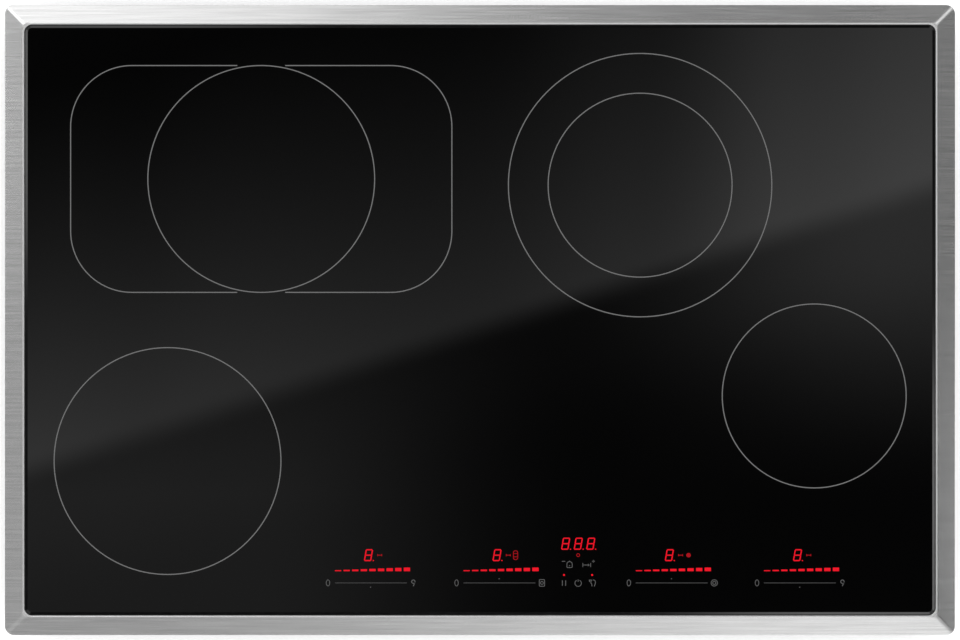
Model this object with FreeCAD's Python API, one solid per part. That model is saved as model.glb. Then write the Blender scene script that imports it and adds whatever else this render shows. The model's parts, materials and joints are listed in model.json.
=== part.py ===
"""Built-in induction cooktop with a bevelled steel frame, written one STEP file per sub-part.

Millimetres, +Z up. The origin is the centre of the housing's underside, X runs to the user's right and
Y from the user's edge to the back. The worktop's surface is the plane z = WORKTOP_Z: the frame rests on
it, and everything lower hangs in the worktop's cut-out.
"""

import FreeCAD
import Part
import math
import os

Vector = FreeCAD.Vector
UP = Vector(0, 0, 1)

# ---- Driving dimensions -------------------------------------------------------------------------
FRAME_W, FRAME_D = 754.0, 500.0  # outer size of the steel frame
FRAME_CORNER_R = 7.5             # outer corners, in plan
BAND_W = 15.5                    # outer edge to inner edge of the frame, in plan
BAND_SLOPE = 0.30                # rise of the frame's sloping face per mm inwards
LIP_H = 1.6                      # height of the frame's outer lip
RIDGE_R = 8.0                    # rounding of the four mitre ridges
FRAME_T = 1.0                    # sheet thickness of the frame
BODY_DEPTH = 50.0                # depth of the housing below the worktop's surface
RIM_RISE = 6.0                   # frame's rim above the worktop's surface
GLASS_T = 4.0                    # glass-ceramic plate
GLASS_STEP = 0.4                 # glass surface below the rim
SEAL_W = 0.8                     # silicone joint between glass and frame
FACET_W, FACET_H = 2.3, 1.3      # ground facet along the glass edge
SHELF_W = 11.5                   # frame's shelf under the glass
HOUSING_T = 0.8                  # sheet thickness of the lower housing
CUTOUT_W, CUTOUT_D = 730.0, 478.0  # worktop cut-out that the housing hangs in
CUTOUT_GAP = 8.0                 # housing flange to cut-out edge, each side
FLANGE_W = 11.0                  # housing's outward flange under the frame's shelf

# Cooking zones: centre, printed diameter and, for the roasting zone, the printed length.
ZONES = {
    "front_left": {"centre": (-247.7, -111.8), "diameter": 180.0},
    "rear_left": {"centre": (-173.4, 111.8), "diameter": 180.0, "length": 302.0},
    "rear_right": {"centre": (126.9, 106.9), "diameter": 146.0, "outer_diameter": 209.0},
    "front_right": {"centre": (264.9, -60.2), "diameter": 146.0},
}

# Induction coils.
WIRE_W, WIRE_PITCH = 3.2, 4.0    # width of the stranded wire and distance from turn to turn
WINDING_INNER_R = 20.0
WINDING_MARGIN = 6.0             # printed circle to outermost turn
CARRIER_MARGIN = 3.0             # outermost turn to carrier edge
FERRITE_W, FERRITE_T = 11.0, 3.4
SIDE_COIL_STRAIGHT = 66.0        # straight length of the roasting zone's two side coils
SIDE_COIL_INNER_R = 7.2
SIDE_COIL_TURNS = 5
SPRING_R, SPRING_WIRE_R, SPRING_WIRE_SIDES, SPRING_TURNS = 4.0, 0.5, 10, 4

# Control unit: the row of sliders and the centre keys, under the glass at the front.
SLIDER_X = (-87.3, 14.7, 152.7, 253.6)   # centre of each slider
SLIDER_Y = -208.2
SLIDER_L = 56.0
DIGIT_Y = -186.3
BAR_Y, BAR_L = -197.6, 60.0
CENTRE_X = 77.8                          # centre keys and timer display
TIMER_Y = -177.8
KEY_ROW_Y = (-195.3, -208.5)
KEY_PITCH = 11.3
RIBBON_X, RIBBON_W, RIBBON_T = 53.0, 12.0, 0.9
RIBBON_TOP_Z, RIBBON_DROP_Y = 48.0, -45.0

# ---- Levels -------------------------------------------------------------------------------------
WORKTOP_Z = BODY_DEPTH
LIP_Z = WORKTOP_Z + LIP_H
RIM_Z = WORKTOP_Z + RIM_RISE
SHELF_TOP_Z = WORKTOP_Z + FRAME_T
GLASS_TOP_Z = RIM_Z - GLASS_STEP
GLASS_LOW_Z = GLASS_TOP_Z - GLASS_T
PCB_Z, PCB_T = 6.0, 1.6          # power boards
PLATE_Z, PLATE_T = 31.0, 1.5     # aluminium plate that carries the coils
SPRING_H = 10.1
CARRIER_Z = PLATE_Z + PLATE_T + SPRING_H
CARRIER_T = 3.4
WINDING_Z = CARRIER_Z + CARRIER_T
WINDING_T = 3.6
DISC_T = 1.7                     # mica and felt disc between coil and glass
FAN_Z, FAN_H = HOUSING_T, 27.0

# ---- Plan half-sizes ----------------------------------------------------------------------------
FRAME_HX, FRAME_HY = FRAME_W / 2, FRAME_D / 2
OPEN_HX, OPEN_HY = FRAME_HX - BAND_W, FRAME_HY - BAND_W
OPEN_R = 6.5
GLASS_HX, GLASS_HY = OPEN_HX - SEAL_W, OPEN_HY - SEAL_W
GLASS_R = OPEN_R - SEAL_W
FLANGE_HX, FLANGE_HY = CUTOUT_W / 2 - CUTOUT_GAP, CUTOUT_D / 2 - CUTOUT_GAP
FLANGE_R = 8.0
HOUSING_HX, HOUSING_HY = FLANGE_HX - FLANGE_W, FLANGE_HY - FLANGE_W
HOUSING_R = 8.0

# ---- Fixing clamps, one mechanism at each of four places on the housing's side walls -------------
CLAMP_Y = 130.0
CLAMP_AXIS_OUT = 7.5             # screw axis outside the housing wall
CLAMP_SHEET = 1.5
CLAMP_TAB_Z, CLAMP_HIGH_Z = 23.5, 44.0
CLAMP_BUSH_H = 6.0
CLAMP_SCREW_R, CLAMP_FIT = 2.5, 0.06
CLAMP_TIP_Z = 36.0               # screw's tip with the clamp open
CLAW_Z, CLAW_LIFT_OFF = 4.6, 0.05  # top of the screw's head, and the play between it and the claw
CLAW_T, CLAW_L, CLAW_W = 2.5, 21.0, 10.0
CLAW_HUB_R, CLAW_HUB_H = 5.6, 5.0
CLAW_TOOTH_H, CLAW_TOOTH_T = 2.5, 2.0

# ---- Fans and power electronics -----------------------------------------------------------------
FAN_CENTRES = {"left": (-150.0, -140.0), "right": (110.0, -140.0)}
FAN_SIZE, FAN_CAVITY_R, FAN_INLET_R = 96.0, 42.0, 30.0
ROTOR_R, ROTOR_H, ROTOR_BLADES = 38.5, 19.0, 27
BOARD_W, BOARD_D = 270.0, 190.0
BOARD_CENTRES = {"left": (-180.0, 28.0), "right": (180.0, 28.0)}
HEATSINK_W, HEATSINK_D, HEATSINK_H, HEATSINK_FINS = 58.0, 150.0, 21.0, 10

# ---- Mains terminal box, let into the housing's floor at the back --------------------------------
BOX_X, BOX_Y = 270.0, 179.0      # centre
BOX_W, BOX_D, BOX_H, BOX_T = 112.0, 66.0, 24.0, 2.0
COVER_GAP = 0.6
COVER_T = 2.0
COVER_Z = 0.3
HINGE_R, HINGE_PIN_R, HINGE_FIT = 1.7, 0.9, 0.06
HINGE_EAR_R = 1.75
CABLE_R = 6.5
CABLE_Z = 12.0
NOSE_R, NOSE_END_Y = 9.5, 222.0
GLAND_W = 21.0                   # width of the gland's plate in the wall's slot
GLAND_INNER_T, GLAND_OUTER_T = 1.2, 1.2
LEAD_R, LEAD_Z, LEAD_RUN = 1.5, 15.5, 42.0


# ---- Shape helpers ------------------------------------------------------------------------------
def rounded_face(half_x, half_y, radius, z, centre=(0.0, 0.0)):
    """Flat face of a rectangle with rounded corners."""
    cx, cy = centre
    edges = []
    corners = ((1, 1, 0), (-1, 1, 90), (-1, -1, 180), (1, -1, 270))
    ends = []
    for sx, sy, start in corners:
        middle = Vector(cx + sx * (half_x - radius), cy + sy * (half_y - radius), z)
        arc = Part.makeCircle(radius, middle, UP, start, start + 90)
        edges.append(arc)
        ends.append((arc.valueAt(arc.FirstParameter), arc.valueAt(arc.LastParameter)))
    wire_edges = []
    for i, arc in enumerate(edges):
        wire_edges.append(arc)
        wire_edges.append(Part.makeLine(ends[i][1], ends[(i + 1) % 4][0]))
    return Part.Face(Part.Wire(wire_edges))


def rounded_prism(half_x, half_y, radius, z_low, z_high, centre=(0.0, 0.0)):
    """Upright prism on a rounded rectangle."""
    face = rounded_face(half_x, half_y, radius, z_low, centre)
    return face.extrude(UP * (z_high - z_low))


def rounded_ring(outer, inner, z_low, z_high):
    """Upright ring between two (half_x, half_y, radius) outlines."""
    return rounded_prism(*outer, z_low, z_high).cut(rounded_prism(*inner, z_low, z_high))


def box(x_low, x_high, y_low, y_high, z_low, z_high):
    """Box by its limits."""
    corner = Vector(x_low, y_low, z_low)
    return Part.makeBox(x_high - x_low, y_high - y_low, z_high - z_low, corner)


def cylinder(radius, z_low, z_high, centre=(0.0, 0.0)):
    """Upright cylinder."""
    return Part.makeCylinder(radius, z_high - z_low, Vector(centre[0], centre[1], z_low))


def rod(radius, start, length, direction):
    """Cylinder along any direction."""
    return Part.makeCylinder(radius, length, Vector(*start), Vector(*direction))


def slot(centre, length, width, z_low, z_high, along_x=True):
    """Round-ended slot cutter, length measured end to end."""
    half = (length / 2, width / 2) if along_x else (width / 2, length / 2)
    return rounded_prism(*half, width / 2 - 0.001, z_low, z_high, centre)


def moved(shape, x=0.0, y=0.0, z=0.0, turn=0.0):
    """Copy of a shape, turned about the Z axis and then moved."""
    copy = shape.copy()
    if turn:
        copy.rotate(Vector(0, 0, 0), UP, turn)
    copy.translate(Vector(x, y, z))
    return copy


def fused(shapes):
    """One solid out of several that touch or overlap."""
    return shapes[0].multiFuse(shapes[1:]).removeSplitter()


def without(shape, cutters):
    """A shape with a list of cutters taken away."""
    return shape.cut(Part.makeCompound(cutters))


def pan_screw(head_r, head_h, shank_r, shank_l):
    """Cross-recessed pan-head screw, head on top of z = 0 and shank below it."""
    head = cylinder(head_r, 0, head_h)
    head = head.makeFillet(head_h * 0.45, [head.Edges[0]])
    arm, width = head_r * 0.55, head_r * 0.18
    depth = head_h * 0.55
    recess = [
        box(-arm, arm, -width, width, head_h - depth, head_h + 1),
        box(-width, width, -arm, arm, head_h - depth, head_h + 1),
    ]
    return without(fused([head, cylinder(shank_r, -shank_l, 0.2)]), recess)


def upside_down(shape):
    """Copy turned over about the X axis."""
    copy = shape.copy()
    copy.rotate(Vector(0, 0, 0), Vector(1, 0, 0), 180)
    return copy


# ---- Frame, glass and seals ---------------------------------------------------------------------
def band_pyramid(drop, ridge_r):
    """Truncated pyramid whose sides are the frame's four sloping faces, lowered by drop."""
    low, high = WORKTOP_Z, RIM_Z + 4.0

    def half_sizes(z):
        inset = (z + drop - LIP_Z) / BAND_SLOPE
        return FRAME_HX - inset, FRAME_HY - inset

    (low_x, low_y), (high_x, high_y) = half_sizes(low), half_sizes(high)
    wedge = Part.makeWedge(
        -low_x, low, -low_y, -high_y, -high_x, low_x, high, low_y, high_y, high_x
    )
    wedge.rotate(Vector(0, 0, 0), Vector(1, 0, 0), 90)
    ridges = [e for e in wedge.Edges if abs(e.Vertexes[0].Z - e.Vertexes[1].Z) > 1.0]
    return wedge.makeFillet(ridge_r, ridges)


def frame_hollow():
    """Space under the sloping face, between the outer lip and the inner wall."""
    drop = FRAME_T * math.sqrt(1 + BAND_SLOPE**2)
    inside = rounded_prism(
        FRAME_HX - FRAME_T, FRAME_HY - FRAME_T, FRAME_CORNER_R - FRAME_T, WORKTOP_Z - 1, RIM_Z
    )
    wall = rounded_prism(
        OPEN_HX + FRAME_T, OPEN_HY + FRAME_T, OPEN_R + FRAME_T, WORKTOP_Z - 1, RIM_Z
    )
    return band_pyramid(drop, RIDGE_R - FRAME_T).common(inside).cut(wall)


def housing_screw_places():
    """Screws through the housing flange into the frame's shelf, all round."""
    x_line = HOUSING_HX + FLANGE_W * 0.55
    y_line = HOUSING_HY + FLANGE_W * 0.55
    places = [(sx * x_line, y) for sx in (-1, 1) for y in (-180.0, 0.0, 180.0)]
    places += [(x, sy * y_line) for sy in (-1, 1) for x in (-300.0, -100.0, 100.0, 300.0)]
    return places


def steel_frame():
    """Pressed frame: outer lip, sloping band with mitred corners, inner wall and shelf."""
    outer = rounded_prism(FRAME_HX, FRAME_HY, FRAME_CORNER_R, WORKTOP_Z, RIM_Z)
    body = band_pyramid(0.0, RIDGE_R).common(outer)
    body = body.cut(rounded_prism(OPEN_HX, OPEN_HY, OPEN_R, SHELF_TOP_Z, RIM_Z + 1))
    shelf_open = rounded_prism(
        OPEN_HX - SHELF_W, OPEN_HY - SHELF_W, OPEN_R, WORKTOP_Z - 1, RIM_Z
    )
    body = body.cut(shelf_open).cut(frame_hollow())
    holes = [cylinder(1.75, WORKTOP_Z - 1, RIM_Z, place) for place in housing_screw_places()]
    return without(body, holes)


def glass_plate():
    """Glass-ceramic plate with a ground facet along its upper edge."""
    plate = rounded_prism(GLASS_HX, GLASS_HY, GLASS_R, GLASS_LOW_Z, GLASS_TOP_Z)
    top_edges = [
        e for e in plate.Edges if all(abs(v.Z - GLASS_TOP_Z) < 1e-6 for v in e.Vertexes)
    ]
    return plate.makeChamfer(FACET_H, FACET_W, top_edges)


def edge_seal():
    """Silicone joint between the glass edge and the frame, a little below the facet."""
    return rounded_ring(
        (OPEN_HX, OPEN_HY, OPEN_R),
        (GLASS_HX, GLASS_HY, GLASS_R),
        GLASS_LOW_Z,
        GLASS_TOP_Z - FACET_H,
    )


def glass_bond_bead():
    """Flat bead of adhesive that holds the glass on the frame's shelf."""
    inset = SHELF_W - 1.5
    return rounded_ring(
        (OPEN_HX - 0.5, OPEN_HY - 0.5, OPEN_R - 0.5),
        (OPEN_HX - inset, OPEN_HY - inset, OPEN_R),
        SHELF_TOP_Z,
        GLASS_LOW_Z,
    )


def worktop_gasket():
    """Foam tape in the frame's hollow, flush with the outer lip."""
    ring = rounded_ring(
        (FRAME_HX - 3.5, FRAME_HY - 3.5, FRAME_CORNER_R - 3.5),
        (FRAME_HX - 11.0, FRAME_HY - 11.0, OPEN_R),
        WORKTOP_Z,
        RIM_Z,
    )
    return frame_hollow().common(ring)


# ---- Lower housing ------------------------------------------------------------------------------
def tray(half_x, half_y, radius, z_low, bend_r):
    """Solid block of the housing's outline with a rounded lower edge."""
    block = rounded_prism(half_x, half_y, radius, z_low, WORKTOP_Z)
    low_edges = [e for e in block.Edges if all(abs(v.Z - z_low) < 1e-6 for v in e.Vertexes)]
    return block.makeFillet(bend_r, low_edges)


def inlet_slots():
    """Parallel slots that fill a circle below each fan."""
    cutters = []
    width, pitch = 3.4, 6.6
    for centre in FAN_CENTRES.values():
        for row in range(-4, 5):
            offset = row * pitch
            chord = 2 * math.sqrt(FAN_INLET_R**2 - offset**2)
            for side in (-1, 1):
                place = (centre[0] + side * (chord / 4 + 0.6), centre[1] + offset)
                cutters.append(slot(place, chord / 2 - 2.4, width, -1, 4))
    return cutters


def wall_slots():
    """Upright air-outlet slots through the back wall, and a shorter row through the front wall."""
    cutters = []
    for x in [-312.0 + 9.0 * i for i in range(54)]:
        cutters.append(box(x, x + 4.0, HOUSING_HY - 3, HOUSING_HY + 3, 10.0, 26.0))
    for x in [-60.0 + 9.0 * i for i in range(10)]:
        cutters.append(box(x, x + 4.0, -HOUSING_HY - 3, -HOUSING_HY + 3, 10.0, 26.0))
    return cutters


def stiffening_beads():
    """Places of the pressed beads in the floor: centre, length and whether along X."""
    return [
        ((-20.0, 40.0), 300.0, False),
        ((-320.0, 40.0), 300.0, False),
        ((320.0, 0.0), 200.0, False),
        ((-160.0, 60.0), 210.0, True),
        ((150.0, 60.0), 230.0, True),
        ((-160.0, 130.0), 210.0, True),
    ]


def terminal_opening():
    """Opening in the floor for the terminal box's cover."""
    return box(
        BOX_X - BOX_W / 2, BOX_X + BOX_W / 2, BOX_Y - BOX_D / 2, BOX_Y + BOX_D / 2, -1, 2
    )


def lower_housing():
    """Galvanised steel tray with an outward flange, air slots and the cable's opening."""
    outer = tray(HOUSING_HX, HOUSING_HY, HOUSING_R, 0.0, 2.5)
    inner = tray(
        HOUSING_HX - HOUSING_T, HOUSING_HY - HOUSING_T, HOUSING_R - HOUSING_T, HOUSING_T, 1.7
    )
    flange = rounded_prism(
        FLANGE_HX, FLANGE_HY, FLANGE_R, WORKTOP_Z - HOUSING_T, WORKTOP_Z
    )
    shell = fused([outer, flange]).cut(inner)
    depth = 1.2
    for centre, length, along_x in stiffening_beads():
        raised = slot(centre, length, 9.6, HOUSING_T / 2, HOUSING_T + depth, along_x)
        shell = shell.fuse(raised)
        shell = shell.cut(slot(centre, length - 1.6, 8.0, -1, depth, along_x))
    cutters = inlet_slots() + wall_slots() + [terminal_opening()]
    cutters.append(rod(NOSE_R + 0.3, (BOX_X, HOUSING_HY - 4, CABLE_Z), 8, (0, 1, 0)))
    cutters += [
        cylinder(2.2, WORKTOP_Z - 3, WORKTOP_Z + 1, place) for place in housing_screw_places()
    ]
    return without(shell, cutters)


def housing_screws():
    """Screws that hold the housing to the frame's shelf, heads below the flange."""
    screw = upside_down(pan_screw(3.6, 2.4, 1.7, HOUSING_T + 0.9))
    return [moved(screw, x, y, WORKTOP_Z - HOUSING_T) for x, y in housing_screw_places()]


# ---- Fixing clamps ------------------------------------------------------------------------------
def clamp_places():
    """Name of each clamp: side, Y of its screw and the turn that carries the right-hand one there."""
    return {
        "front_right": (1, -CLAMP_Y, 0.0),
        "rear_right": (1, CLAMP_Y, 0.0),
        "front_left": (-1, -CLAMP_Y, 180.0),
        "rear_left": (-1, CLAMP_Y, 180.0),
    }


def at_clamp(shape, name):
    """Shape made around the clamp's own origin, the screw axis at z = 0, carried to its place."""
    side, y, turn = clamp_places()[name]
    return moved(shape, side * (HOUSING_HX + CLAMP_AXIS_OUT), y, 0.0, turn)


def clamp_bracket():
    """Bracket riveted to the housing wall, with a tab and a threaded bush that the screw climbs in."""
    wall = -CLAMP_AXIS_OUT
    plate = box(wall, wall + CLAMP_SHEET, -13, 13, CLAMP_TAB_Z, CLAMP_HIGH_Z)
    tab = box(wall, 7.5, -6.5, 6.5, CLAMP_TAB_Z, CLAMP_TAB_Z + CLAMP_SHEET)
    bush = cylinder(4.6, CLAMP_TAB_Z, CLAMP_TAB_Z + CLAMP_BUSH_H)
    hole = cylinder(CLAMP_SCREW_R + CLAMP_FIT, 0, WORKTOP_Z)
    rivets = [
        rod(2.5, (wall + CLAMP_SHEET - 0.2, y, CLAMP_TAB_Z + 12.0), 1.2, (1, 0, 0))
        for y in (-9.0, 9.0)
    ]
    return fused([plate, tab, bush] + rivets).cut(hole)


def clamp_screw():
    """Long screw, head down: its head carries the claw and its shank climbs in the bush."""
    shank_l = CLAMP_TIP_Z - CLAW_Z
    return moved(upside_down(pan_screw(4.6, 2.9, CLAMP_SCREW_R, shank_l)), z=CLAW_Z)


def clamp_claw():
    """Claw on the screw's head, parked along the wall, with a tooth that grips the worktop."""
    low = CLAW_Z + CLAW_LIFT_OFF
    arm_top = low + CLAW_T
    half = CLAW_W / 2
    hub = cylinder(CLAW_HUB_R, low, low + CLAW_HUB_H)
    arm = box(-half, half, 0, CLAW_L, low, arm_top)
    tooth = box(-half, half, CLAW_L - CLAW_TOOTH_T, CLAW_L, low, arm_top + CLAW_TOOTH_H)
    rib = box(-1.0, 1.0, 4.0, CLAW_L - 1, low, arm_top + 1.2)
    bore = cylinder(CLAMP_SCREW_R + CLAMP_FIT, 0, WORKTOP_Z)
    return fused([hub, arm, tooth, rib]).cut(bore)


# ---- Coil modules -------------------------------------------------------------------------------
def spiral_winding(inner_r, turns, z_low, straight=0.0):
    """Flat spiral of stranded wire around the origin; straight stretches it along Y."""
    half = straight / 2
    shift = WIRE_PITCH / 2

    def strip_side(offset):
        edges = []
        for turn in range(turns):
            top_r = inner_r + turn * WIRE_PITCH + offset
            low_r = top_r + shift
            end_x = shift + low_r
            edges.append(Part.makeCircle(top_r, Vector(0, half, z_low), UP, 0, 180))
            if straight:
                edges.append(
                    Part.makeLine(Vector(-top_r, half, z_low), Vector(-top_r, -half, z_low))
                )
            edges.append(Part.makeCircle(low_r, Vector(shift, -half, z_low), UP, 180, 360))
            if straight:
                edges.append(
                    Part.makeLine(Vector(end_x, -half, z_low), Vector(end_x, half, z_low))
                )
        return edges, Vector(inner_r + offset, half, z_low), Vector(end_x, half, z_low)

    outer, outer_start, outer_end = strip_side(WIRE_W / 2)
    inner, inner_start, inner_end = strip_side(-WIRE_W / 2)
    loop = outer + [Part.makeLine(outer_end, inner_end)] + inner[::-1]
    loop.append(Part.makeLine(inner_start, outer_start))
    return Part.Face(Part.Wire(loop)).extrude(UP * WINDING_T)


def turns_between(inner_r, outer_r):
    """Whole turns of wire that fit between two radii."""
    return int((outer_r - inner_r) // WIRE_PITCH)


def ferrite_rays(inner_r, outer_r, count):
    """Radial ferrite bars under a winding."""
    top = CARRIER_Z + CARRIER_T - 1.0
    bar = box(inner_r, outer_r, -FERRITE_W / 2, FERRITE_W / 2, top - FERRITE_T, top)
    return [moved(bar, turn=360.0 * i / count) for i in range(count)]


def pocket_for(bars):
    """Cutter with a little room around each ferrite bar."""
    cutters = []
    for bar in bars:
        for face in bar.Faces:
            if face.normalAt(0, 0).z < -0.9:
                outline = face.makeOffset2D(0.15)
                cutters.append(outline.extrude(UP * FERRITE_T))
    return cutters


def spring_seats(radius, count=3):
    """Places of a module's springs, between the ferrite bars."""
    angles = [math.radians(22.5 + 360.0 * round(8 * i / count) / 8) for i in range(count)]
    return [(radius * math.cos(a), radius * math.sin(a)) for a in angles]


def carrier_plate(outline, bars, seats, windows):
    """Moulded carrier: plate with ferrite pockets, air windows and a spring cup at each seat."""
    cups = []
    for seat in seats:
        cup = cylinder(6.4, CARRIER_Z - 2.5, CARRIER_Z + 0.5, seat)
        cups.append(cup.cut(cylinder(5.2, CARRIER_Z - 3.0, CARRIER_Z, seat)))
    plate = outline.cut(cylinder(8.0, CARRIER_Z - 1, WINDING_Z + 1))
    return without(fused([plate] + cups), pocket_for(bars) + windows)


def air_windows(inner_r, outer_r, count):
    """Radial slots through the carrier, one between each pair of ferrite bars."""
    cutters = []
    middle, length = (inner_r + outer_r) / 2, outer_r - inner_r
    for i in range(count):
        window = slot((middle, 0), length, 7.0, CARRIER_Z - 1, WINDING_Z + 1)
        cutters.append(moved(window, turn=360.0 * (i + 0.5) / count))
    return cutters


def coil_spring(seat):
    """Compression spring with closed ends, between the plate and the carrier's cup."""
    low = PLATE_Z + PLATE_T
    rise = SPRING_H - 2 * SPRING_WIRE_R
    helix = Part.makeHelix(rise / SPRING_TURNS, rise, SPRING_R)
    corners = []
    for i in range(SPRING_WIRE_SIDES + 1):
        angle = 2 * math.pi * (i + 0.5) / SPRING_WIRE_SIDES
        corners.append(
            Vector(SPRING_R + SPRING_WIRE_R * math.cos(angle), 0, SPRING_WIRE_R * math.sin(angle))
        )
    profile = Part.makePolygon(corners)
    spring = Part.Wire(helix).makePipeShell([profile], True, True)
    return moved(spring, seat[0], seat[1], low + SPRING_WIRE_R)


def temperature_sensors():
    """Sensor on the plate in the middle of each coil: foot, stem and a cap close under the glass."""
    low, top = PLATE_Z + PLATE_T, GLASS_LOW_Z - 0.3
    sensor = fused(
        [cylinder(6.0, low, low + 3.0), cylinder(3.0, low, top - 1.0), cylinder(4.6, top - 3.5, top)]
    )
    return [moved(sensor, *zone["centre"]) for zone in ZONES.values()]


def insulation_disc(outline):
    """Mica and felt sheet on top of a winding, with a hole for the sensor's cap."""
    return outline.cut(cylinder(7.0, WINDING_Z, GLASS_TOP_Z))


def round_module(inner_r, outer_r, carrier_r):
    """Parts of a round coil module around the origin."""
    bars = ferrite_rays(inner_r + 2, outer_r - 1, 8)
    seats = spring_seats(outer_r * 0.62)
    windows = air_windows(inner_r + outer_r * 0.5, outer_r - 3, 8)
    outline = cylinder(carrier_r, CARRIER_Z, WINDING_Z)
    disc = cylinder(carrier_r, WINDING_Z + WINDING_T, WINDING_Z + WINDING_T + DISC_T)
    return {
        "coil_carrier": [carrier_plate(outline, bars, seats, windows)],
        "ferrite_bars": bars,
        "insulation_disc": [insulation_disc(disc)],
        "carrier_springs": [coil_spring(seat) for seat in seats],
        "coil_windings": [
            spiral_winding(inner_r, turns_between(inner_r, outer_r), WINDING_Z)
        ],
    }


def roasting_module(zone):
    """Parts of the long module: a round coil between two racetrack side coils."""
    half_y = zone["diameter"] / 2 - CARRIER_MARGIN
    half_x = zone["length"] / 2 - CARRIER_MARGIN
    centre_r = zone["diameter"] / 2 - WINDING_MARGIN - 5.0
    side_r = SIDE_COIL_INNER_R + SIDE_COIL_TURNS * WIRE_PITCH
    side_x = half_x - 2.0 - side_r - WIRE_PITCH / 2
    corner_r = 45.0
    bars = ferrite_rays(WINDING_INNER_R + 2, centre_r - 4, 8)
    top = CARRIER_Z + CARRIER_T - 1.0
    for side in (-1, 1):
        for y in (-30.0, 0.0, 30.0):
            low_x, high_x = sorted((side * (side_x - 20.0), side * (side_x + 20.0)))
            bars.append(box(low_x, high_x, y - 5.0, y + 5.0, top - FERRITE_T, top))
    seats = [(side * 112.0, y) for side in (-1, 1) for y in (-54.0, 54.0)]
    windows = air_windows(WINDING_INNER_R + 36.0, centre_r - 3, 8)
    outline = rounded_prism(half_x, half_y, corner_r, CARRIER_Z, WINDING_Z)
    disc_low = WINDING_Z + WINDING_T
    disc = rounded_prism(half_x, half_y, corner_r, disc_low, disc_low + DISC_T)
    side_coil = spiral_winding(
        SIDE_COIL_INNER_R, SIDE_COIL_TURNS, WINDING_Z, SIDE_COIL_STRAIGHT
    )
    return {
        "coil_carrier": [carrier_plate(outline, bars, seats, windows)],
        "ferrite_bars": bars,
        "insulation_disc": [insulation_disc(disc)],
        "carrier_springs": [coil_spring(seat) for seat in seats],
        "coil_windings": [
            spiral_winding(
                WINDING_INNER_R, turns_between(WINDING_INNER_R, centre_r), WINDING_Z
            ),
            moved(side_coil, side_x),
            moved(side_coil, -side_x, turn=180.0),
        ],
    }


def dual_module(zone):
    """Parts of the two-ring module: an inner winding and an outer ring winding."""
    inner_outer_r = zone["diameter"] / 2 - WINDING_MARGIN
    ring_inner_r = zone["diameter"] / 2 + 2.0
    outer_r = zone["outer_diameter"] / 2 - WINDING_MARGIN
    parts = round_module(WINDING_INNER_R, outer_r, outer_r + CARRIER_MARGIN)
    inner_turns = turns_between(WINDING_INNER_R, inner_outer_r)
    parts["coil_windings"] = [
        spiral_winding(WINDING_INNER_R, inner_turns, WINDING_Z),
        spiral_winding(ring_inner_r, turns_between(ring_inner_r, outer_r), WINDING_Z),
    ]
    return parts


def coil_modules():
    """Every coil module, each part in a node named after its zone."""
    nodes = {}
    for zone_name, zone in ZONES.items():
        if "length" in zone:
            parts = roasting_module(zone)
        elif "outer_diameter" in zone:
            parts = dual_module(zone)
        else:
            outer_r = zone["diameter"] / 2 - WINDING_MARGIN
            parts = round_module(WINDING_INNER_R, outer_r, outer_r + CARRIER_MARGIN)
        for part_name, solids in parts.items():
            nodes[f"{part_name}_{zone_name}"] = [moved(s, *zone["centre"]) for s in solids]
    return nodes


def post_places():
    """Posts that carry the coil plate."""
    return [
        (x, y)
        for x in (-334.0, 0.0, 334.0)
        for y in (-204.0, -60.0, 120.0)
    ]


def coil_plate():
    """Aluminium plate under the coils, with air openings and screw holes."""
    plate = rounded_prism(338.0, 212.0, 6.0, PLATE_Z, PLATE_Z + PLATE_T)
    cutters = [cylinder(2.2, PLATE_Z - 1, CARRIER_Z, place) for place in post_places()]
    for zone in ZONES.values():
        for i in range(8):
            angle = math.radians(45.0 * i)
            place = (
                zone["centre"][0] + 30.0 * math.cos(angle),
                zone["centre"][1] + 30.0 * math.sin(angle),
            )
            cutters.append(cylinder(7.0, PLATE_Z - 1, CARRIER_Z, place))
    corner_x, corner_y = BOX_X - BOX_W / 2 - 4, BOX_Y - BOX_D / 2 + 16
    cutters.append(box(corner_x, 345.0, corner_y, 220.0, PLATE_Z - 1, CARRIER_Z))
    half = RIBBON_W / 2 + 1
    gap_low, gap_high = RIBBON_DROP_Y - 1.5, RIBBON_DROP_Y + RIBBON_T + 1.5
    cutters.append(
        box(RIBBON_X - half, RIBBON_X + half, gap_low, gap_high, PLATE_Z - 1, CARRIER_Z)
    )
    return without(plate, cutters)


def support_posts():
    """Hexagonal posts between the housing's floor and the coil plate."""
    across = 4.2
    corners = [
        Vector(across * math.cos(math.radians(60 * i)), across * math.sin(math.radians(60 * i)), 0)
        for i in range(7)
    ]
    hexagon = Part.Face(Part.makePolygon(corners)).extrude(UP * (PLATE_Z - HOUSING_T))
    hexagon = hexagon.cut(cylinder(1.65, PLATE_Z - HOUSING_T - 12, PLATE_Z))
    return [moved(hexagon, x, y, HOUSING_T) for x, y in post_places()]


def plate_screws():
    """Screws that hold the coil plate on its posts."""
    screw = pan_screw(3.6, 2.2, 1.6, PLATE_T + 6.0)
    return [moved(screw, x, y, PLATE_Z + PLATE_T) for x, y in post_places()]


# ---- Fans ---------------------------------------------------------------------------------------
def fan_housing(centre):
    """Blower housing: square case with a round chamber, an inlet below and an outlet at the back."""
    cx, cy = centre
    half = FAN_SIZE / 2
    case = rounded_prism(half, half, 8.0, FAN_Z, FAN_Z + FAN_H, centre)
    chamber = cylinder(FAN_CAVITY_R, FAN_Z + 2, FAN_Z + FAN_H - 2, centre)
    outlet = box(cx - 30, cx + 42, cy, cy + half + 1, FAN_Z + 2, FAN_Z + FAN_H - 2)
    inlet = cylinder(FAN_INLET_R, FAN_Z - 1, FAN_Z + 3, centre)
    return case.cut(chamber.fuse(outlet)).cut(inlet)


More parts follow.
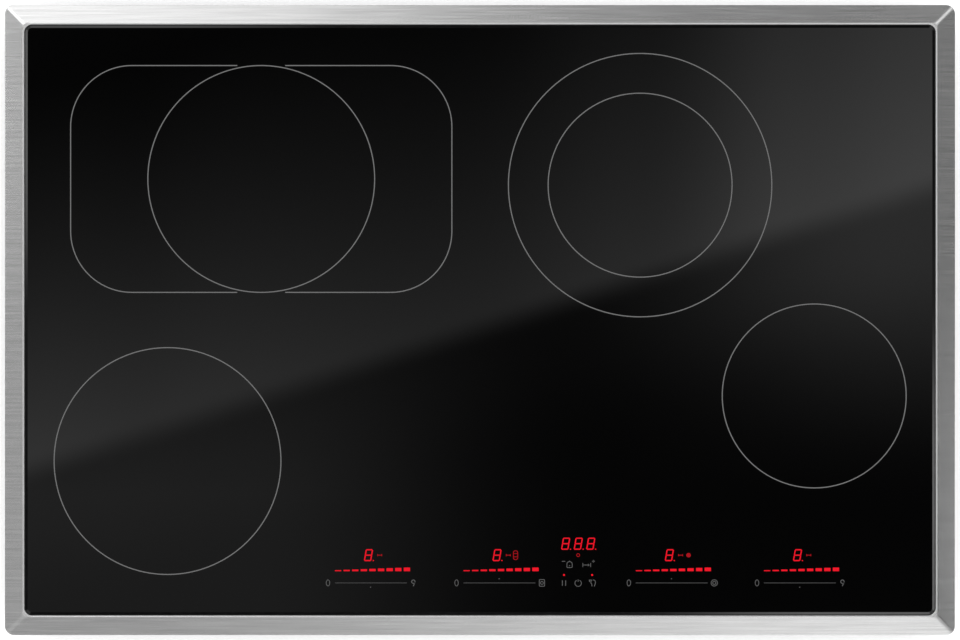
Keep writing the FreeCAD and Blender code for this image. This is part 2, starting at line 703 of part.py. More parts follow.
def fan_motor(centre):
    """Motor stator hung from the fan housing's roof, with the shaft that the rotor turns on."""
    roof = FAN_Z + FAN_H - 2
    coil = cylinder(11.0, roof - 7.0, roof, centre)
    shaft = cylinder(1.5, FAN_Z + 5.0, roof - 6.0, centre)
    return fused([coil, shaft])


def fan_rotor(centre):
    """Impeller: hub cup over the motor, back plate and a ring of forward-curved blades."""
    low = FAN_Z + 3.5
    high = low + ROTOR_H
    blade_inner_r, blade_t, hub_r = 28.0, 1.0, 14.5
    start, middle, end = (
        Vector(blade_inner_r, 0, low),
        Vector(33.5, 1.5, low),
        Vector(ROTOR_R, 5.0, low),
    )
    lead = Vector(0, blade_t, 0)
    outline = [
        Part.Arc(start, middle, end).toShape(),
        Part.makeLine(end, end + lead),
        Part.Arc(end + lead, middle + lead, start + lead).toShape(),
        Part.makeLine(start + lead, start),
    ]
    blade = Part.Face(Part.Wire(outline)).extrude(UP * (ROTOR_H - 0.5))
    blades = [moved(blade, turn=360.0 * i / ROTOR_BLADES) for i in range(ROTOR_BLADES)]
    plate = cylinder(ROTOR_R + 0.4, high - 1.5, high).cut(cylinder(12.5, low, high + 1))
    hub = cylinder(hub_r, low + 2, high).cut(cylinder(12.5, low + 4, high + 1))
    hub = hub.cut(cylinder(1.56, low, high))
    ring = cylinder(ROTOR_R + 0.4, low, low + 1.2).cut(cylinder(ROTOR_R - 2.5, low - 1, high))
    return moved(fused([plate, hub, ring] + blades), *centre)


# ---- Power electronics --------------------------------------------------------------------------
def power_board(centre):
    """Circuit board of one generator, with its four fixing holes."""
    board = rounded_prism(BOARD_W / 2, BOARD_D / 2, 3.0, PCB_Z, PCB_Z + PCB_T, centre)
    holes = [
        cylinder(1.8, 0, 10, (centre[0] + sx * 125.0, centre[1] + sy * 88.0))
        for sx in (-1, 1)
        for sy in (-1, 1)
    ]
    return without(board, holes)


def board_pillars():
    """Plastic pillars that hold the power boards above the floor."""
    pillars = []
    for cx, cy in BOARD_CENTRES.values():
        for sx in (-1, 1):
            for sy in (-1, 1):
                place = (cx + sx * 125.0, cy + sy * 88.0)
                foot = cylinder(4.0, HOUSING_T, PCB_Z, place)
                pin = cylinder(1.7, PCB_Z - 0.5, PCB_Z + PCB_T + 1.5, place)
                pillars.append(fused([foot, pin]))
    return pillars


def heatsink_centre(side):
    """Heatsink in line with its fan's outlet."""
    return FAN_CENTRES[side][0] + 6.0, BOARD_CENTRES[side][1] - 8.0


def heatsink(side):
    """Extruded aluminium heatsink with upright fins along the air stream."""
    cx, cy = heatsink_centre(side)
    low = PCB_Z + PCB_T
    half_w, half_d = HEATSINK_W / 2, HEATSINK_D / 2
    base = box(cx - half_w, cx + half_w, cy - half_d, cy + half_d, low, low + 3.5)
    gap = (HEATSINK_W - 1.6) / (HEATSINK_FINS - 1)
    fins = [
        box(
            cx - half_w + i * gap,
            cx - half_w + i * gap + 1.6,
            cy - half_d,
            cy + half_d,
            low + 3.0,
            low + HEATSINK_H,
        )
        for i in range(HEATSINK_FINS)
    ]
    return fused([base] + fins)


def power_transistors(side):
    """Row of power transistors clamped against the heatsink's flanks."""
    cx, cy = heatsink_centre(side)
    low = PCB_Z + PCB_T
    parts = []
    for flank in (-1, 1):
        x = cx + flank * (HEATSINK_W / 2 + 2.4)
        for i in range(4):
            y = cy - 52.0 + i * 34.0
            body = box(x - 2.4, x + 2.4, y - 8, y + 8, low + 3.0, low + 19.0)
            legs = [box(x - 0.5, x + 0.5, y + d - 0.8, y + d + 0.8, low, low + 3.5)
                    for d in (-5.0, 0.0, 5.0)]
            parts.append(fused([body] + legs))
    return parts


def outboard(side):
    """Board edge away from the heatsink: +1 on the right board, -1 on the left one."""
    return 1 if side == "right" else -1


def film_capacitors(side):
    """Boxed film capacitors in two rows beside the heatsink."""
    cx, cy = BOARD_CENTRES[side]
    low = PCB_Z + PCB_T
    out = outboard(side)
    parts = []
    for column in range(2):
        for row in range(4):
            x = cx + out * (52.0 + column * 26.0)
            y = cy - 60.0 + row * 26.0
            body = box(x - 9, x + 9, y - 11, y + 11, low, low + 17.0)
            parts.append(body.makeFillet(1.0, body.Edges))
    return parts


def filter_chokes(side):
    """Wound ring chokes of the mains filter, standing on the board."""
    cx, cy = BOARD_CENTRES[side]
    low = PCB_Z + PCB_T
    parts = []
    for i in range(2):
        x = cx + outboard(side) * (56.0 + i * 34.0)
        ring = Part.makeTorus(10.0, 4.6, Vector(x, cy + 62.0, low + 5.2))
        seat = cylinder(7.0, low, low + 4.0, (x, cy + 62.0))
        parts.append(fused([ring, seat]))
    return parts


# ---- Mains terminal box -------------------------------------------------------------------------
def terminal_box():
    """Plastic box open towards the floor, with a slot for the cable gland and two hinge ears."""
    half_w, half_d = BOX_W / 2, BOX_D / 2
    shell = box(
        BOX_X - half_w, BOX_X + half_w, BOX_Y - half_d, BOX_Y + half_d, HOUSING_T + 0.2, BOX_H
    )
    hollow = box(
        BOX_X - half_w + BOX_T,
        BOX_X + half_w - BOX_T,
        BOX_Y - half_d + BOX_T,
        BOX_Y + half_d - BOX_T,
        0,
        BOX_H - BOX_T,
    )
    rim = box(
        BOX_X - half_w - 5, BOX_X + half_w + 5, BOX_Y - half_d - 5, BOX_Y + half_d,
        HOUSING_T, HOUSING_T + 1.8,
    )
    wall_y = BOX_Y + half_d - BOX_T
    gland_slot = box(
        BOX_X - GLAND_W / 2, BOX_X + GLAND_W / 2, wall_y - 1, wall_y + BOX_T + 1, 0, BOX_H - BOX_T
    )
    ears = []
    hinge_y, hinge_z = hinge_axis()
    for side in (-1, 1):
        x = BOX_X + side * (half_w - BOX_T - 1.5)
        ears.append(rod(HINGE_EAR_R, (x - 1.5, hinge_y, hinge_z), 3, (1, 0, 0)))
        ears.append(
            box(
                x - 1.5,
                x + 1.5,
                BOX_Y - half_d + 1,
                hinge_y + HINGE_EAR_R,
                hinge_z,
                HOUSING_T + 6,
            )
        )
    body = fused([shell, rim]).cut(hollow).cut(gland_slot)
    lead_holes = [
        rod(LEAD_R + 0.4, (BOX_X - 26.0 + 13.0 * i, BOX_Y - half_d - 1, LEAD_Z), 4, (0, 1, 0))
        for i in (1, 2, 3)
    ]
    body = without(body, lead_holes)
    pin_hole = rod(
        HINGE_PIN_R + HINGE_FIT, (BOX_X - half_w + 0.5, hinge_y, hinge_z), BOX_W - 1, (1, 0, 0)
    )
    return fused([body] + ears).cut(pin_hole)


def cable_gland():
    """Gland in the slot of the box's rear wall: grooved plate with a round nose and the cable's bore."""
    wall_y = BOX_Y + BOX_D / 2 - BOX_T
    outer_y = wall_y + BOX_T
    low = HOUSING_T + 0.2
    half, flange = GLAND_W / 2, GLAND_W / 2 + 2.0
    plate = box(BOX_X - half, BOX_X + half, wall_y, outer_y, low, BOX_H - BOX_T)
    inner = box(
        BOX_X - flange, BOX_X + flange, wall_y - GLAND_INNER_T, wall_y, low + 2.0, BOX_H - BOX_T
    )
    outer = box(BOX_X - flange, BOX_X + flange, outer_y, outer_y + GLAND_OUTER_T, low, BOX_H - 1)
    nose = rod(NOSE_R, (BOX_X, wall_y, CABLE_Z), NOSE_END_Y - wall_y, (0, 1, 0))
    bore = rod(CABLE_R, (BOX_X, wall_y - 3, CABLE_Z), NOSE_END_Y - wall_y + 6, (0, 1, 0))
    return fused([plate, inner, outer, nose]).cut(bore)


def hinge_axis():
    """Y and Z of the cover's hinge line."""
    return BOX_Y - BOX_D / 2 + BOX_T + 2.4, COVER_Z + HINGE_R + 0.1


def terminal_cover():
    """Cover of the terminal box: flat lid with a hinge barrel, two pins and two snap tongues."""
    hinge_y, hinge_z = hinge_axis()
    half_w = BOX_W / 2 - BOX_T - COVER_GAP
    barrel_half = half_w - 4.2
    back_y = BOX_Y + BOX_D / 2 - BOX_T - COVER_GAP
    lid_front = hinge_y + 2.4
    lid = box(BOX_X - half_w, BOX_X + half_w, lid_front, back_y, COVER_Z, COVER_Z + COVER_T)
    link = box(
        BOX_X - barrel_half, BOX_X + barrel_half, hinge_y, lid_front + 1, COVER_Z, COVER_Z + COVER_T
    )
    barrel = rod(
        HINGE_R, (BOX_X - barrel_half, hinge_y, hinge_z), 2 * barrel_half, (1, 0, 0)
    )
    pins = rod(
        HINGE_PIN_R, (BOX_X - half_w + 0.4, hinge_y, hinge_z), 2 * half_w - 0.8, (1, 0, 0)
    )
    tongues = [
        box(BOX_X + x - 4, BOX_X + x + 4, back_y - 1.7, back_y - 0.2, COVER_Z + 1, COVER_Z + 7)
        for x in (-27.0, 27.0)
    ]
    ribs = [
        box(BOX_X + x - 0.7, BOX_X + x + 0.7, lid_front + 4, back_y - 8, COVER_Z + 1, COVER_Z + 3.4)
        for x in (-36.0, -18.0, 18.0, 36.0)
    ]
    return fused([lid, link, barrel, pins] + tongues + ribs)


def terminal_block():
    """Terminal block inside the box: insulating base with five wire chambers."""
    low, high = 9.0, BOX_H - BOX_T
    y_low, y_high = BOX_Y - 22.0, BOX_Y - 6.0
    block = box(BOX_X - 34, BOX_X + 34, y_low, y_high, low, high)
    cutters = []
    for i in range(5):
        x = BOX_X - 26.0 + 13.0 * i
        cutters.append(rod(2.6, (x, y_low - 1, low + 6.5), 18, (0, 1, 0)))
        cutters.append(cylinder(2.8, low - 1, low + 6.5, (x, BOX_Y - 14.0)))
    return without(block, cutters)


def terminal_screws():
    """Brass clamping screws of the five terminals."""
    screw = upside_down(pan_screw(2.6, 1.6, 1.5, 3.0))
    return [moved(screw, BOX_X - 26.0 + 13.0 * i, BOX_Y - 14.0, 12.4) for i in range(5)]


def bent_wire(points, radius, bend_r):
    """Round wire through the points: straight runs joined by tangent arcs."""
    points = [Vector(*p) for p in points]
    edges = []
    at = points[0]
    for before, corner, after in zip(points, points[1:], points[2:]):
        to_before = (before - corner).normalize()
        to_after = (after - corner).normalize()
        half_turn = to_before.getAngle(to_after) / 2
        reach = bend_r / math.tan(half_turn)
        start, end = corner + to_before * reach, corner + to_after * reach
        inward = (to_before + to_after).normalize()
        middle = corner + inward * (bend_r / math.sin(half_turn) - bend_r)
        edges.append(Part.makeLine(at, start))
        edges.append(Part.Arc(start, middle, end).toShape())
        at = end
    edges.append(Part.makeLine(at, points[-1]))
    first = (points[1] - points[0]).normalize()
    profile = Part.Wire(Part.makeCircle(radius, points[0], first))
    return Part.Wire(edges).makePipeShell([profile], True, False)


def mains_leads():
    """Three leads from the terminal block out of the box's front wall and down to the board."""
    y_block = BOX_Y - 22.0
    leads = []
    for i in (1, 2, 3):
        x = BOX_X - 26.0 + 13.0 * i
        route = [
            (x, y_block, LEAD_Z),
            (x, y_block - LEAD_RUN, LEAD_Z),
            (x, y_block - LEAD_RUN, PCB_Z + PCB_T),
        ]
        leads.append(bent_wire(route, LEAD_R, 4.0))
    return leads


# ---- Control unit -------------------------------------------------------------------------------
def control_limits():
    """Plan limits of the control unit's tray."""
    return -134.0, 301.0, -215.5, -167.5


def touch_carrier():
    """Moulded tray that presses the control board towards the glass, on four feet."""
    x_low, x_high, y_low, y_high = control_limits()
    floor_z, top_z = 40.0, GLASS_LOW_Z - 0.8
    tray_block = box(x_low, x_high, y_low, y_high, floor_z, top_z)
    hollow = box(x_low + 2, x_high - 2, y_low + 2, y_high - 2, floor_z + 2, top_z + 1)
    plate_top = PLATE_Z + PLATE_T
    feet = [
        cylinder(4.0, plate_top, floor_z + 1, (x, y))
        for x in (x_low + 12, x_high - 12)
        for y in (y_low + 14, y_high - 8)
    ]
    ledges = [
        box(x, x + 4, y_low + 1, y_high - 1, floor_z + 1, floor_z + 4)
        for x in (x_low + 60.0 * i + 3 for i in range(8))
    ]
    half = RIBBON_W / 2 + 1
    notch = box(
        RIBBON_X - half, RIBBON_X + half, y_high - 3, y_high + 1, RIBBON_TOP_Z - RIBBON_T, top_z + 1
    )
    return fused([tray_block.cut(hollow)] + feet + ledges).cut(notch)


def touch_board():
    """Control circuit board on the tray's ledges."""
    x_low, x_high, y_low, y_high = control_limits()
    return box(x_low + 2.5, x_high - 2.5, y_low + 2.5, y_high - 2.5, 44.0, 45.6)


def display_modules():
    """Digit displays, bar-graph displays and indicator lamps soldered on the control board."""
    low, high = 45.6, GLASS_LOW_Z - 0.3
    parts = [
        box(x - 5.0, x + 5.0, DIGIT_Y - 6.5, DIGIT_Y + 6.5, low, high) for x in SLIDER_X
    ]
    parts += [
        box(x - BAR_L / 2 - 1, x + BAR_L / 2 + 1, BAR_Y - 2.6, BAR_Y + 2.6, low, high)
        for x in SLIDER_X
    ]
    parts.append(box(CENTRE_X - 16, CENTRE_X + 16, TIMER_Y - 7, TIMER_Y + 7, low, high))
    parts += [
        cylinder(1.5, low, high, (CENTRE_X + side * KEY_PITCH, KEY_ROW_Y[1] + 6.6))
        for side in (-1, 1)
    ]
    return parts


def touch_springs():
    """Conductive spring under every touch field: five along each slider and five centre keys."""
    places = [
        (x + SLIDER_L / 4 * step, SLIDER_Y) for x in SLIDER_X for step in (-2, -1, 0, 1, 2)
    ]
    places += [(CENTRE_X + KEY_PITCH * i, KEY_ROW_Y[1]) for i in (-1, 0, 1)]
    places += [(CENTRE_X + KEY_PITCH * i * 0.6, KEY_ROW_Y[0]) for i in (-1, 1)]
    ring = cylinder(3.0, 45.6, GLASS_LOW_Z - 0.1).cut(cylinder(2.2, 45.0, GLASS_LOW_Z))
    return [moved(ring, x, y) for x, y in places]


def ribbon_cable():
    """Flat cable: over the tray's edge, along the coil plate and down to the right power board."""
    y_wall = control_limits()[3]
    half, t = RIBBON_W / 2, RIBBON_T
    x_low, x_high = RIBBON_X - half, RIBBON_X + half
    plate_top = PLATE_Z + PLATE_T
    runs = [
        (y_wall - 8, y_wall - 8 + t, 45.6, RIBBON_TOP_Z),
        (y_wall - 8, y_wall + 3, RIBBON_TOP_Z - t, RIBBON_TOP_Z),
        (y_wall + 3 - t, y_wall + 3, plate_top, RIBBON_TOP_Z),
        (y_wall + 3 - t, RIBBON_DROP_Y + t, plate_top, plate_top + t),
        (RIBBON_DROP_Y, RIBBON_DROP_Y + t, PCB_Z + PCB_T, plate_top + t),
    ]
    return fused([box(x_low, x_high, *run) for run in runs])


# ---- Assembly -----------------------------------------------------------------------------------
def all_nodes():
    """Every sub-part, as node name to list of solids."""
    nodes = {
        "steel_frame": [steel_frame()],
        "glass_plate": [glass_plate()],
        "edge_seal": [edge_seal()],
        "glass_bond_bead": [glass_bond_bead()],
        "worktop_gasket": [worktop_gasket()],
        "lower_housing": [lower_housing()],
        "housing_screws": housing_screws(),
        "coil_plate": [coil_plate()],
        "support_posts": support_posts(),
        "plate_screws": plate_screws(),
        "clamp_brackets": [at_clamp(clamp_bracket(), name) for name in clamp_places()],
        "fan_housings": [fan_housing(c) for c in FAN_CENTRES.values()],
        "fan_motors": [fan_motor(c) for c in FAN_CENTRES.values()],
        "power_boards": [power_board(c) for c in BOARD_CENTRES.values()],
        "board_pillars": board_pillars(),
        "heatsinks": [heatsink(side) for side in BOARD_CENTRES],
        "power_transistors": [p for side in BOARD_CENTRES for p in power_transistors(side)],
        "film_capacitors": [p for side in BOARD_CENTRES for p in film_capacitors(side)],
        "filter_chokes": [p for side in BOARD_CENTRES for p in filter_chokes(side)],
        "terminal_box": [terminal_box()],
        "cable_gland": [cable_gland()],
        "terminal_cover": [terminal_cover()],
        "terminal_block": [terminal_block()],
        "terminal_screws": terminal_screws(),
        "internal_leads": mains_leads() + [ribbon_cable()],
        "temperature_sensors": temperature_sensors(),
        "touch_carrier": [touch_carrier()],
        "touch_board": [touch_board()],
        "display_modules": display_modules(),
        "touch_springs": touch_springs(),
    }
    for name in clamp_places():
        nodes[f"clamp_screw_{name}"] = [at_clamp(clamp_screw(), name)]
        nodes[f"clamp_claw_{name}"] = [at_clamp(clamp_claw(), name)]
    for side, centre in FAN_CENTRES.items():
        nodes[f"fan_rotor_{side}"] = [fan_rotor(centre)]
    nodes.update(coil_modules())
    return nodes


def write_parts():
    """Checks each node's solids and writes them to parts/."""
    os.makedirs("parts", exist_ok=True)
    for name, shapes in all_nodes().items():
        solids = [solid for shape in shapes for solid in shape.Solids]
        bad = [s for s in solids if not s.isValid() or not s.isClosed() or s.Volume <= 0]
        if bad or len(solids) != len(shapes):
            print(f"PROBLEM {name}: {len(shapes)} shapes, {len(solids)} solids, {len(bad)} bad")
        shape = solids[0] if len(solids) == 1 else Part.makeCompound(solids)
        shape.exportStep(f"parts/{name}.step")
        print(f"{name}: {len(solids)} solids, {sum(s.Volume for s in solids) / 1000:.1f} cm3")


write_parts()
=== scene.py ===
"""Looks of the induction cooktop: brushed frame, black glass with its prints and lamps, and the studio."""

import json
import math

import bpy
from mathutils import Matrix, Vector


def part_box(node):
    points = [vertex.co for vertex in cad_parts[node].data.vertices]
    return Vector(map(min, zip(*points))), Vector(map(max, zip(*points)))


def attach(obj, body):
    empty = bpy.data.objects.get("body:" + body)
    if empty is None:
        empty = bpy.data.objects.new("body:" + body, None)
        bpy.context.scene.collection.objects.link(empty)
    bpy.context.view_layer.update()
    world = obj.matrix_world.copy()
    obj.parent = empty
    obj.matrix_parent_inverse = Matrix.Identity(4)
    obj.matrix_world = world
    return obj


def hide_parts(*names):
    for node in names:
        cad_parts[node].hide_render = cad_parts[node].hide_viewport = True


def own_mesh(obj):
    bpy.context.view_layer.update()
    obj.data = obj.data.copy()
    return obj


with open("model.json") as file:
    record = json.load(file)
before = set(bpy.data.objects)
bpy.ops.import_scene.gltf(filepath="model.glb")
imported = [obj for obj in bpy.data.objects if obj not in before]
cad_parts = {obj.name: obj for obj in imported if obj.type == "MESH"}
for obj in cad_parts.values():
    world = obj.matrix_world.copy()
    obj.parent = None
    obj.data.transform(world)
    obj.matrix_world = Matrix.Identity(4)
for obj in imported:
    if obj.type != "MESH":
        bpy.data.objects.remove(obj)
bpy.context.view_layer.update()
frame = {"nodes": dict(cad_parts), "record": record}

MM = 0.001
ROOT = "cooktop"
ZONES = ("front_left", "rear_left", "rear_right", "front_right")

# ---- Places taken from the frame ----------------------------------------------------------------
FRAME_LOW, FRAME_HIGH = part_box("steel_frame")
GLASS_LOW, GLASS_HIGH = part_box("glass_plate")
SEAL_LOW, SEAL_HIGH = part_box("edge_seal")
HALF_X, HALF_Y = FRAME_HIGH.x, FRAME_HIGH.y
OPEN_X, OPEN_Y = SEAL_HIGH.x, SEAL_HIGH.y
GLASS_X, GLASS_Y = GLASS_HIGH.x, GLASS_HIGH.y
GLASS_Z = GLASS_HIGH.z
SEAT_Z, RIM_Z = FRAME_LOW.z, FRAME_HIGH.z

# ---- Sizes of the visible shapes, in metres -----------------------------------------------------
OUTER_R, OPEN_R = 7.5 * MM, 6.5 * MM      # corner radii of the frame's outline and opening
GLASS_R = OPEN_R - (OPEN_X - GLASS_X)     # corner radius of the glass
LIP_H, LIP_ROUND = 1.6 * MM, 0.25 * MM    # height of the outer lip, and its edge's radius
LIP_SHARES = (0.0, 0.06, 0.2, 0.45, 0.72, 1.0)    # rings over the lip's edge, in its radii
SLOPE = 0.30                              # rise of the band per metre inwards
BAND_STEPS = 22
RIDGE_BLEND = 3.4 * MM                    # half-width of the rounded mitre ridge
RIM_GAP = 1.1 * MM                        # from the opening out to where the rim starts
RIM_ROLL = 1.0 * MM                       # radius of the rim's roll
BEAD = 0.4 * MM                           # how far the roll overhangs the joint
ROLL_PLACES = (1.35, 1.15, 0.97, 0.82, 0.64, 0.46, 0.3, 0.17, 0.06, 0.0)  # rings, in mm from the bead's edge
TUCK = 0.1 * MM                           # how far the wall's top lies under the roll
SHEET = 1.0 * MM                          # thickness of the frame's sheet
SHELF_W = 11.5 * MM                       # width of the shelf under the glass
FACET_W, FACET_SLOPE = 2.12 * MM, 0.40    # width of the glass's facet, and its fall per metre
SEAL_DIP = 0.03 * MM                      # how far the joint lies under the facet's line
PRINT_LIFT, PRINT_T = 0.02 * MM, 0.03 * MM    # prints' height over the glass, and thickness
LINE_W = 0.8 * MM                         # printed zone outlines
ICON_W = 0.5 * MM                         # strokes of the printed icons
MITRE_LEAST = 0.35                        # keeps a stroke's mitre from running out at a sharp bend


# ---- Node material helpers ----------------------------------------------------------------------
class Nodes:
    """Small builder for one material's node tree."""

    def __init__(self, name):
        self.material = bpy.data.materials.new(name)
        self.material.use_nodes = True
        self.tree = self.material.node_tree
        self.tree.nodes.clear()
        self.output = self.tree.nodes.new("ShaderNodeOutputMaterial")
        self.coords = self.tree.nodes.new("ShaderNodeTexCoord").outputs["Object"]

    def node(self, kind, **inputs):
        """New node with its inputs by name; underscores in names stand for spaces."""
        made = self.tree.nodes.new(kind)
        for key, value in inputs.items():
            self.put(made.inputs[key.replace("_", " ")], value)
        return made

    def put(self, socket, value):
        """Links an output to a socket, or sets the socket's value."""
        if isinstance(value, bpy.types.NodeSocket):
            self.tree.links.new(value, socket)
        else:
            socket.default_value = value

    def stretched(self, scale):
        """Object coordinates, in metres, multiplied by a scale along each axis."""
        return self.node("ShaderNodeMapping", Vector=self.coords, Scale=scale).outputs[0]

    def noise(self, scale, detail=3.0, rough=0.5, vector=None):
        """Noise texture's value."""
        vector = self.coords if vector is None else vector
        made = self.node(
            "ShaderNodeTexNoise", Vector=vector, Scale=scale, Detail=detail, Roughness=rough
        )
        return made.outputs["Fac"]

    def cells(self, scale):
        """A value of its own for each cell of a Voronoi pattern."""
        pattern = self.node("ShaderNodeTexVoronoi", Vector=self.coords, Scale=scale)
        return self.node("ShaderNodeSeparateColor", Color=pattern.outputs["Color"]).outputs[0]

    def ramp(self, value, low, high, out_low=0.0, out_high=1.0, smooth=False):
        """Maps a value from one range to another, clamped."""
        made = self.node("ShaderNodeMapRange", Value=value)
        if smooth:
            made.interpolation_type = "SMOOTHSTEP"
        for index, number in enumerate((low, high, out_low, out_high), start=1):
            made.inputs[index].default_value = number
        return made.outputs[0]

    def math(self, operation, a, b=0.0):
        """Math node on two values."""
        made = self.tree.nodes.new("ShaderNodeMath")
        made.operation = operation
        self.put(made.inputs[0], a)
        self.put(made.inputs[1], b)
        return made.outputs[0]

    def mix(self, factor, a, b):
        """Mix of two colours, each a socket or a tone."""
        made = self.tree.nodes.new("ShaderNodeMix")
        made.data_type = "RGBA"
        self.put(made.inputs[0], factor)
        for index, colour in ((6, a), (7, b)):
            socket = isinstance(colour, bpy.types.NodeSocket)
            self.put(made.inputs[index], colour if socket else (*colour, 1.0))
        return made.outputs[2]

    def bump(self, height, distance, strength):
        """Bump normal from a height."""
        made = self.node("ShaderNodeBump", Height=height, Distance=distance, Strength=strength)
        return made.outputs[0]

    def emitter(self, strength):
        """Plain emission on the output."""
        emission = self.node("ShaderNodeEmission", Strength=strength)
        self.tree.links.new(emission.outputs[0], self.output.inputs[0])
        return self.material

    def principled(self, **settings):
        """Principled shader on the output."""
        shader = self.node("ShaderNodeBsdfPrincipled", **settings)
        self.tree.links.new(shader.outputs[0], self.output.inputs[0])
        return self.material


# ---- Materials ----------------------------------------------------------------------------------
def shade(tone, share):
    """A tone made lighter or darker, no lighter than white."""
    return tuple(min(1.0, share * part) for part in tone)


def brushed_steel(name, tone):
    """Steel with a straight brushed grain along X."""
    n = Nodes(name)
    grain = n.noise(1.0, 2.0, 0.6, n.stretched((22.0, 1400.0, 22.0)))
    bands = n.noise(1.0, 1.0, 0.5, n.stretched((16.0, 520.0, 16.0)))
    both = n.math("ADD", n.math("MULTIPLY", grain, 0.45), n.math("MULTIPLY", bands, 0.55))
    return n.principled(
        Base_Color=n.mix(n.ramp(both, 0.3, 0.7), shade(tone, 0.88), shade(tone, 1.12)),
        Metallic=1.0,
        Roughness=n.ramp(grain, 0.3, 0.7, 0.22, 0.27),
    )


def rim_steel():
    """Polished, rolled rim along the frame's opening."""
    n = Nodes("rim_steel")
    grain = n.noise(1.0, 2.0, 0.5, n.stretched((60.0, 60.0, 500.0)))
    return n.principled(
        Base_Color=n.mix(grain, (0.9, 0.9, 0.9), (0.97, 0.97, 0.97)),
        Metallic=1.0,
        Roughness=n.ramp(grain, 0.3, 0.7, 0.3, 0.36),
    )


def black_glass():
    """Glass-ceramic seen from above: black body and a polished face with faint waviness."""
    n = Nodes("black_glass")
    smear = n.noise(9.0, 4.0, 0.6)
    return n.principled(
        Base_Color=n.mix(smear, (0.0001, 0.0001, 0.00012), (0.0003, 0.0003, 0.00032)),
        Roughness=n.ramp(smear, 0.35, 0.75, 0.02, 0.035),
        IOR=1.52,
        Normal=n.bump(n.noise(4.0, 1.0), 0.00002, 0.2),
    )


def ground_facet(name, roughness):
    """Ground and polished glass edge."""
    n = Nodes(name)
    marks = n.noise(1.0, 2.0, 0.5, n.stretched((300.0, 300.0, 1500.0)))
    return n.principled(
        Base_Color=n.mix(marks, (0.0005, 0.0005, 0.0006), (0.0015, 0.0015, 0.0016)),
        Roughness=n.ramp(marks, 0.3, 0.7, roughness, roughness + 0.04),
        IOR=1.55,
    )


def printed_enamel(name, tone):
    """Grey ceramic print fired on the glass."""
    n = Nodes(name)
    speckle = n.noise(2500.0, 2.0, 0.6)
    return n.principled(
        Base_Color=n.mix(speckle, shade(tone, 0.85), shade(tone, 1.12)),
        Roughness=n.ramp(speckle, 0.3, 0.7, 0.45, 0.6),
        Normal=n.bump(speckle, 0.000004, 0.3),
    )


def lit_red(name, strength):
    """Red light-emitting segment behind tinted glass, a little uneven."""
    n = Nodes(name)
    tone = (1.0, 0.004, 0.02)
    patches = n.noise(700.0, 1.0)
    glow = n.mix(patches, shade(tone, 0.85), tone)
    return n.principled(
        Base_Color=(0.02, 0.001, 0.001, 1.0),
        Roughness=n.ramp(patches, 0.3, 0.7, 0.25, 0.35),
        Specular_IOR_Level=0.1,
        Emission_Color=glow,
        Emission_Strength=strength,
    )


def rubber(name, tone, roughness, cell=900.0, depth=0.00003):
    """Rubber or foam with a fine skin texture."""
    n = Nodes(name)
    skin = n.noise(cell, 4.0, 0.6)
    return n.principled(
        Base_Color=n.mix(skin, shade(tone, 0.7), shade(tone, 1.25)),
        Roughness=n.ramp(skin, 0.3, 0.7, roughness - 0.06, roughness + 0.08),
        Normal=n.bump(skin, depth, 0.5),
    )


def galvanised():
    """Hot-dip galvanised sheet with its crystal spangle."""
    n = Nodes("galvanised_sheet")
    spangle = n.cells(110.0)
    cloud = n.noise(35.0, 3.0)
    tone = n.mix(spangle, (0.3, 0.315, 0.33), (0.47, 0.485, 0.5))
    return n.principled(
        Base_Color=n.mix(n.ramp(cloud, 0.4, 0.6, 0.0, 0.35), tone, (0.38, 0.395, 0.405)),
        Metallic=1.0,
        Roughness=n.ramp(spangle, 0.0, 1.0, 0.3, 0.46),
        Normal=n.bump(n.noise(260.0, 2.0), 0.00003, 0.3),
    )


def metal(name, tone, roughness, grain=(500.0, 500.0, 500.0), depth=0.00002):
    """Plain metal with tool marks along a chosen grain."""
    n = Nodes(name)
    marks = n.noise(1.0, 3.0, 0.55, n.stretched(grain))
    stain = n.noise(40.0, 3.0)
    base = n.mix(marks, shade(tone, 0.82), tone)
    return n.principled(
        Base_Color=n.mix(n.ramp(stain, 0.45, 0.7, 0.0, 0.4), base, shade(tone, 0.7)),
        Metallic=1.0,
        Roughness=n.ramp(marks, 0.3, 0.7, roughness - 0.05, roughness + 0.09),
        Normal=n.bump(marks, depth, 0.3),
    )


def moulded(name, tone, roughness=0.45, texture=1100.0):
    """Injection-moulded plastic with a spark-eroded skin."""
    n = Nodes(name)
    skin = n.noise(texture, 3.0, 0.6)
    flow = n.noise(30.0, 2.0)
    return n.principled(
        Base_Color=n.mix(flow, shade(tone, 0.88), shade(tone, 1.08)),
        Roughness=n.ramp(skin, 0.3, 0.7, roughness - 0.06, roughness + 0.08),
        Normal=n.bump(skin, 0.00002, 0.4),
    )


def circuit_board():
    """Green lacquered board with copper tracks showing through."""
    n = Nodes("circuit_board")
    tracks = n.node("ShaderNodeTexBrick", Vector=n.coords, Scale=160.0)
    tracks.inputs["Mortar Size"].default_value = 0.035
    return n.principled(
        Base_Color=n.mix(tracks.outputs["Fac"], (0.012, 0.1, 0.04), (0.05, 0.22, 0.09)),
        Roughness=n.ramp(n.noise(200.0), 0.3, 0.7, 0.25, 0.38),
        Normal=n.bump(tracks.outputs["Fac"], 0.00004, 0.4),
        Coat_Weight=0.4,
    )


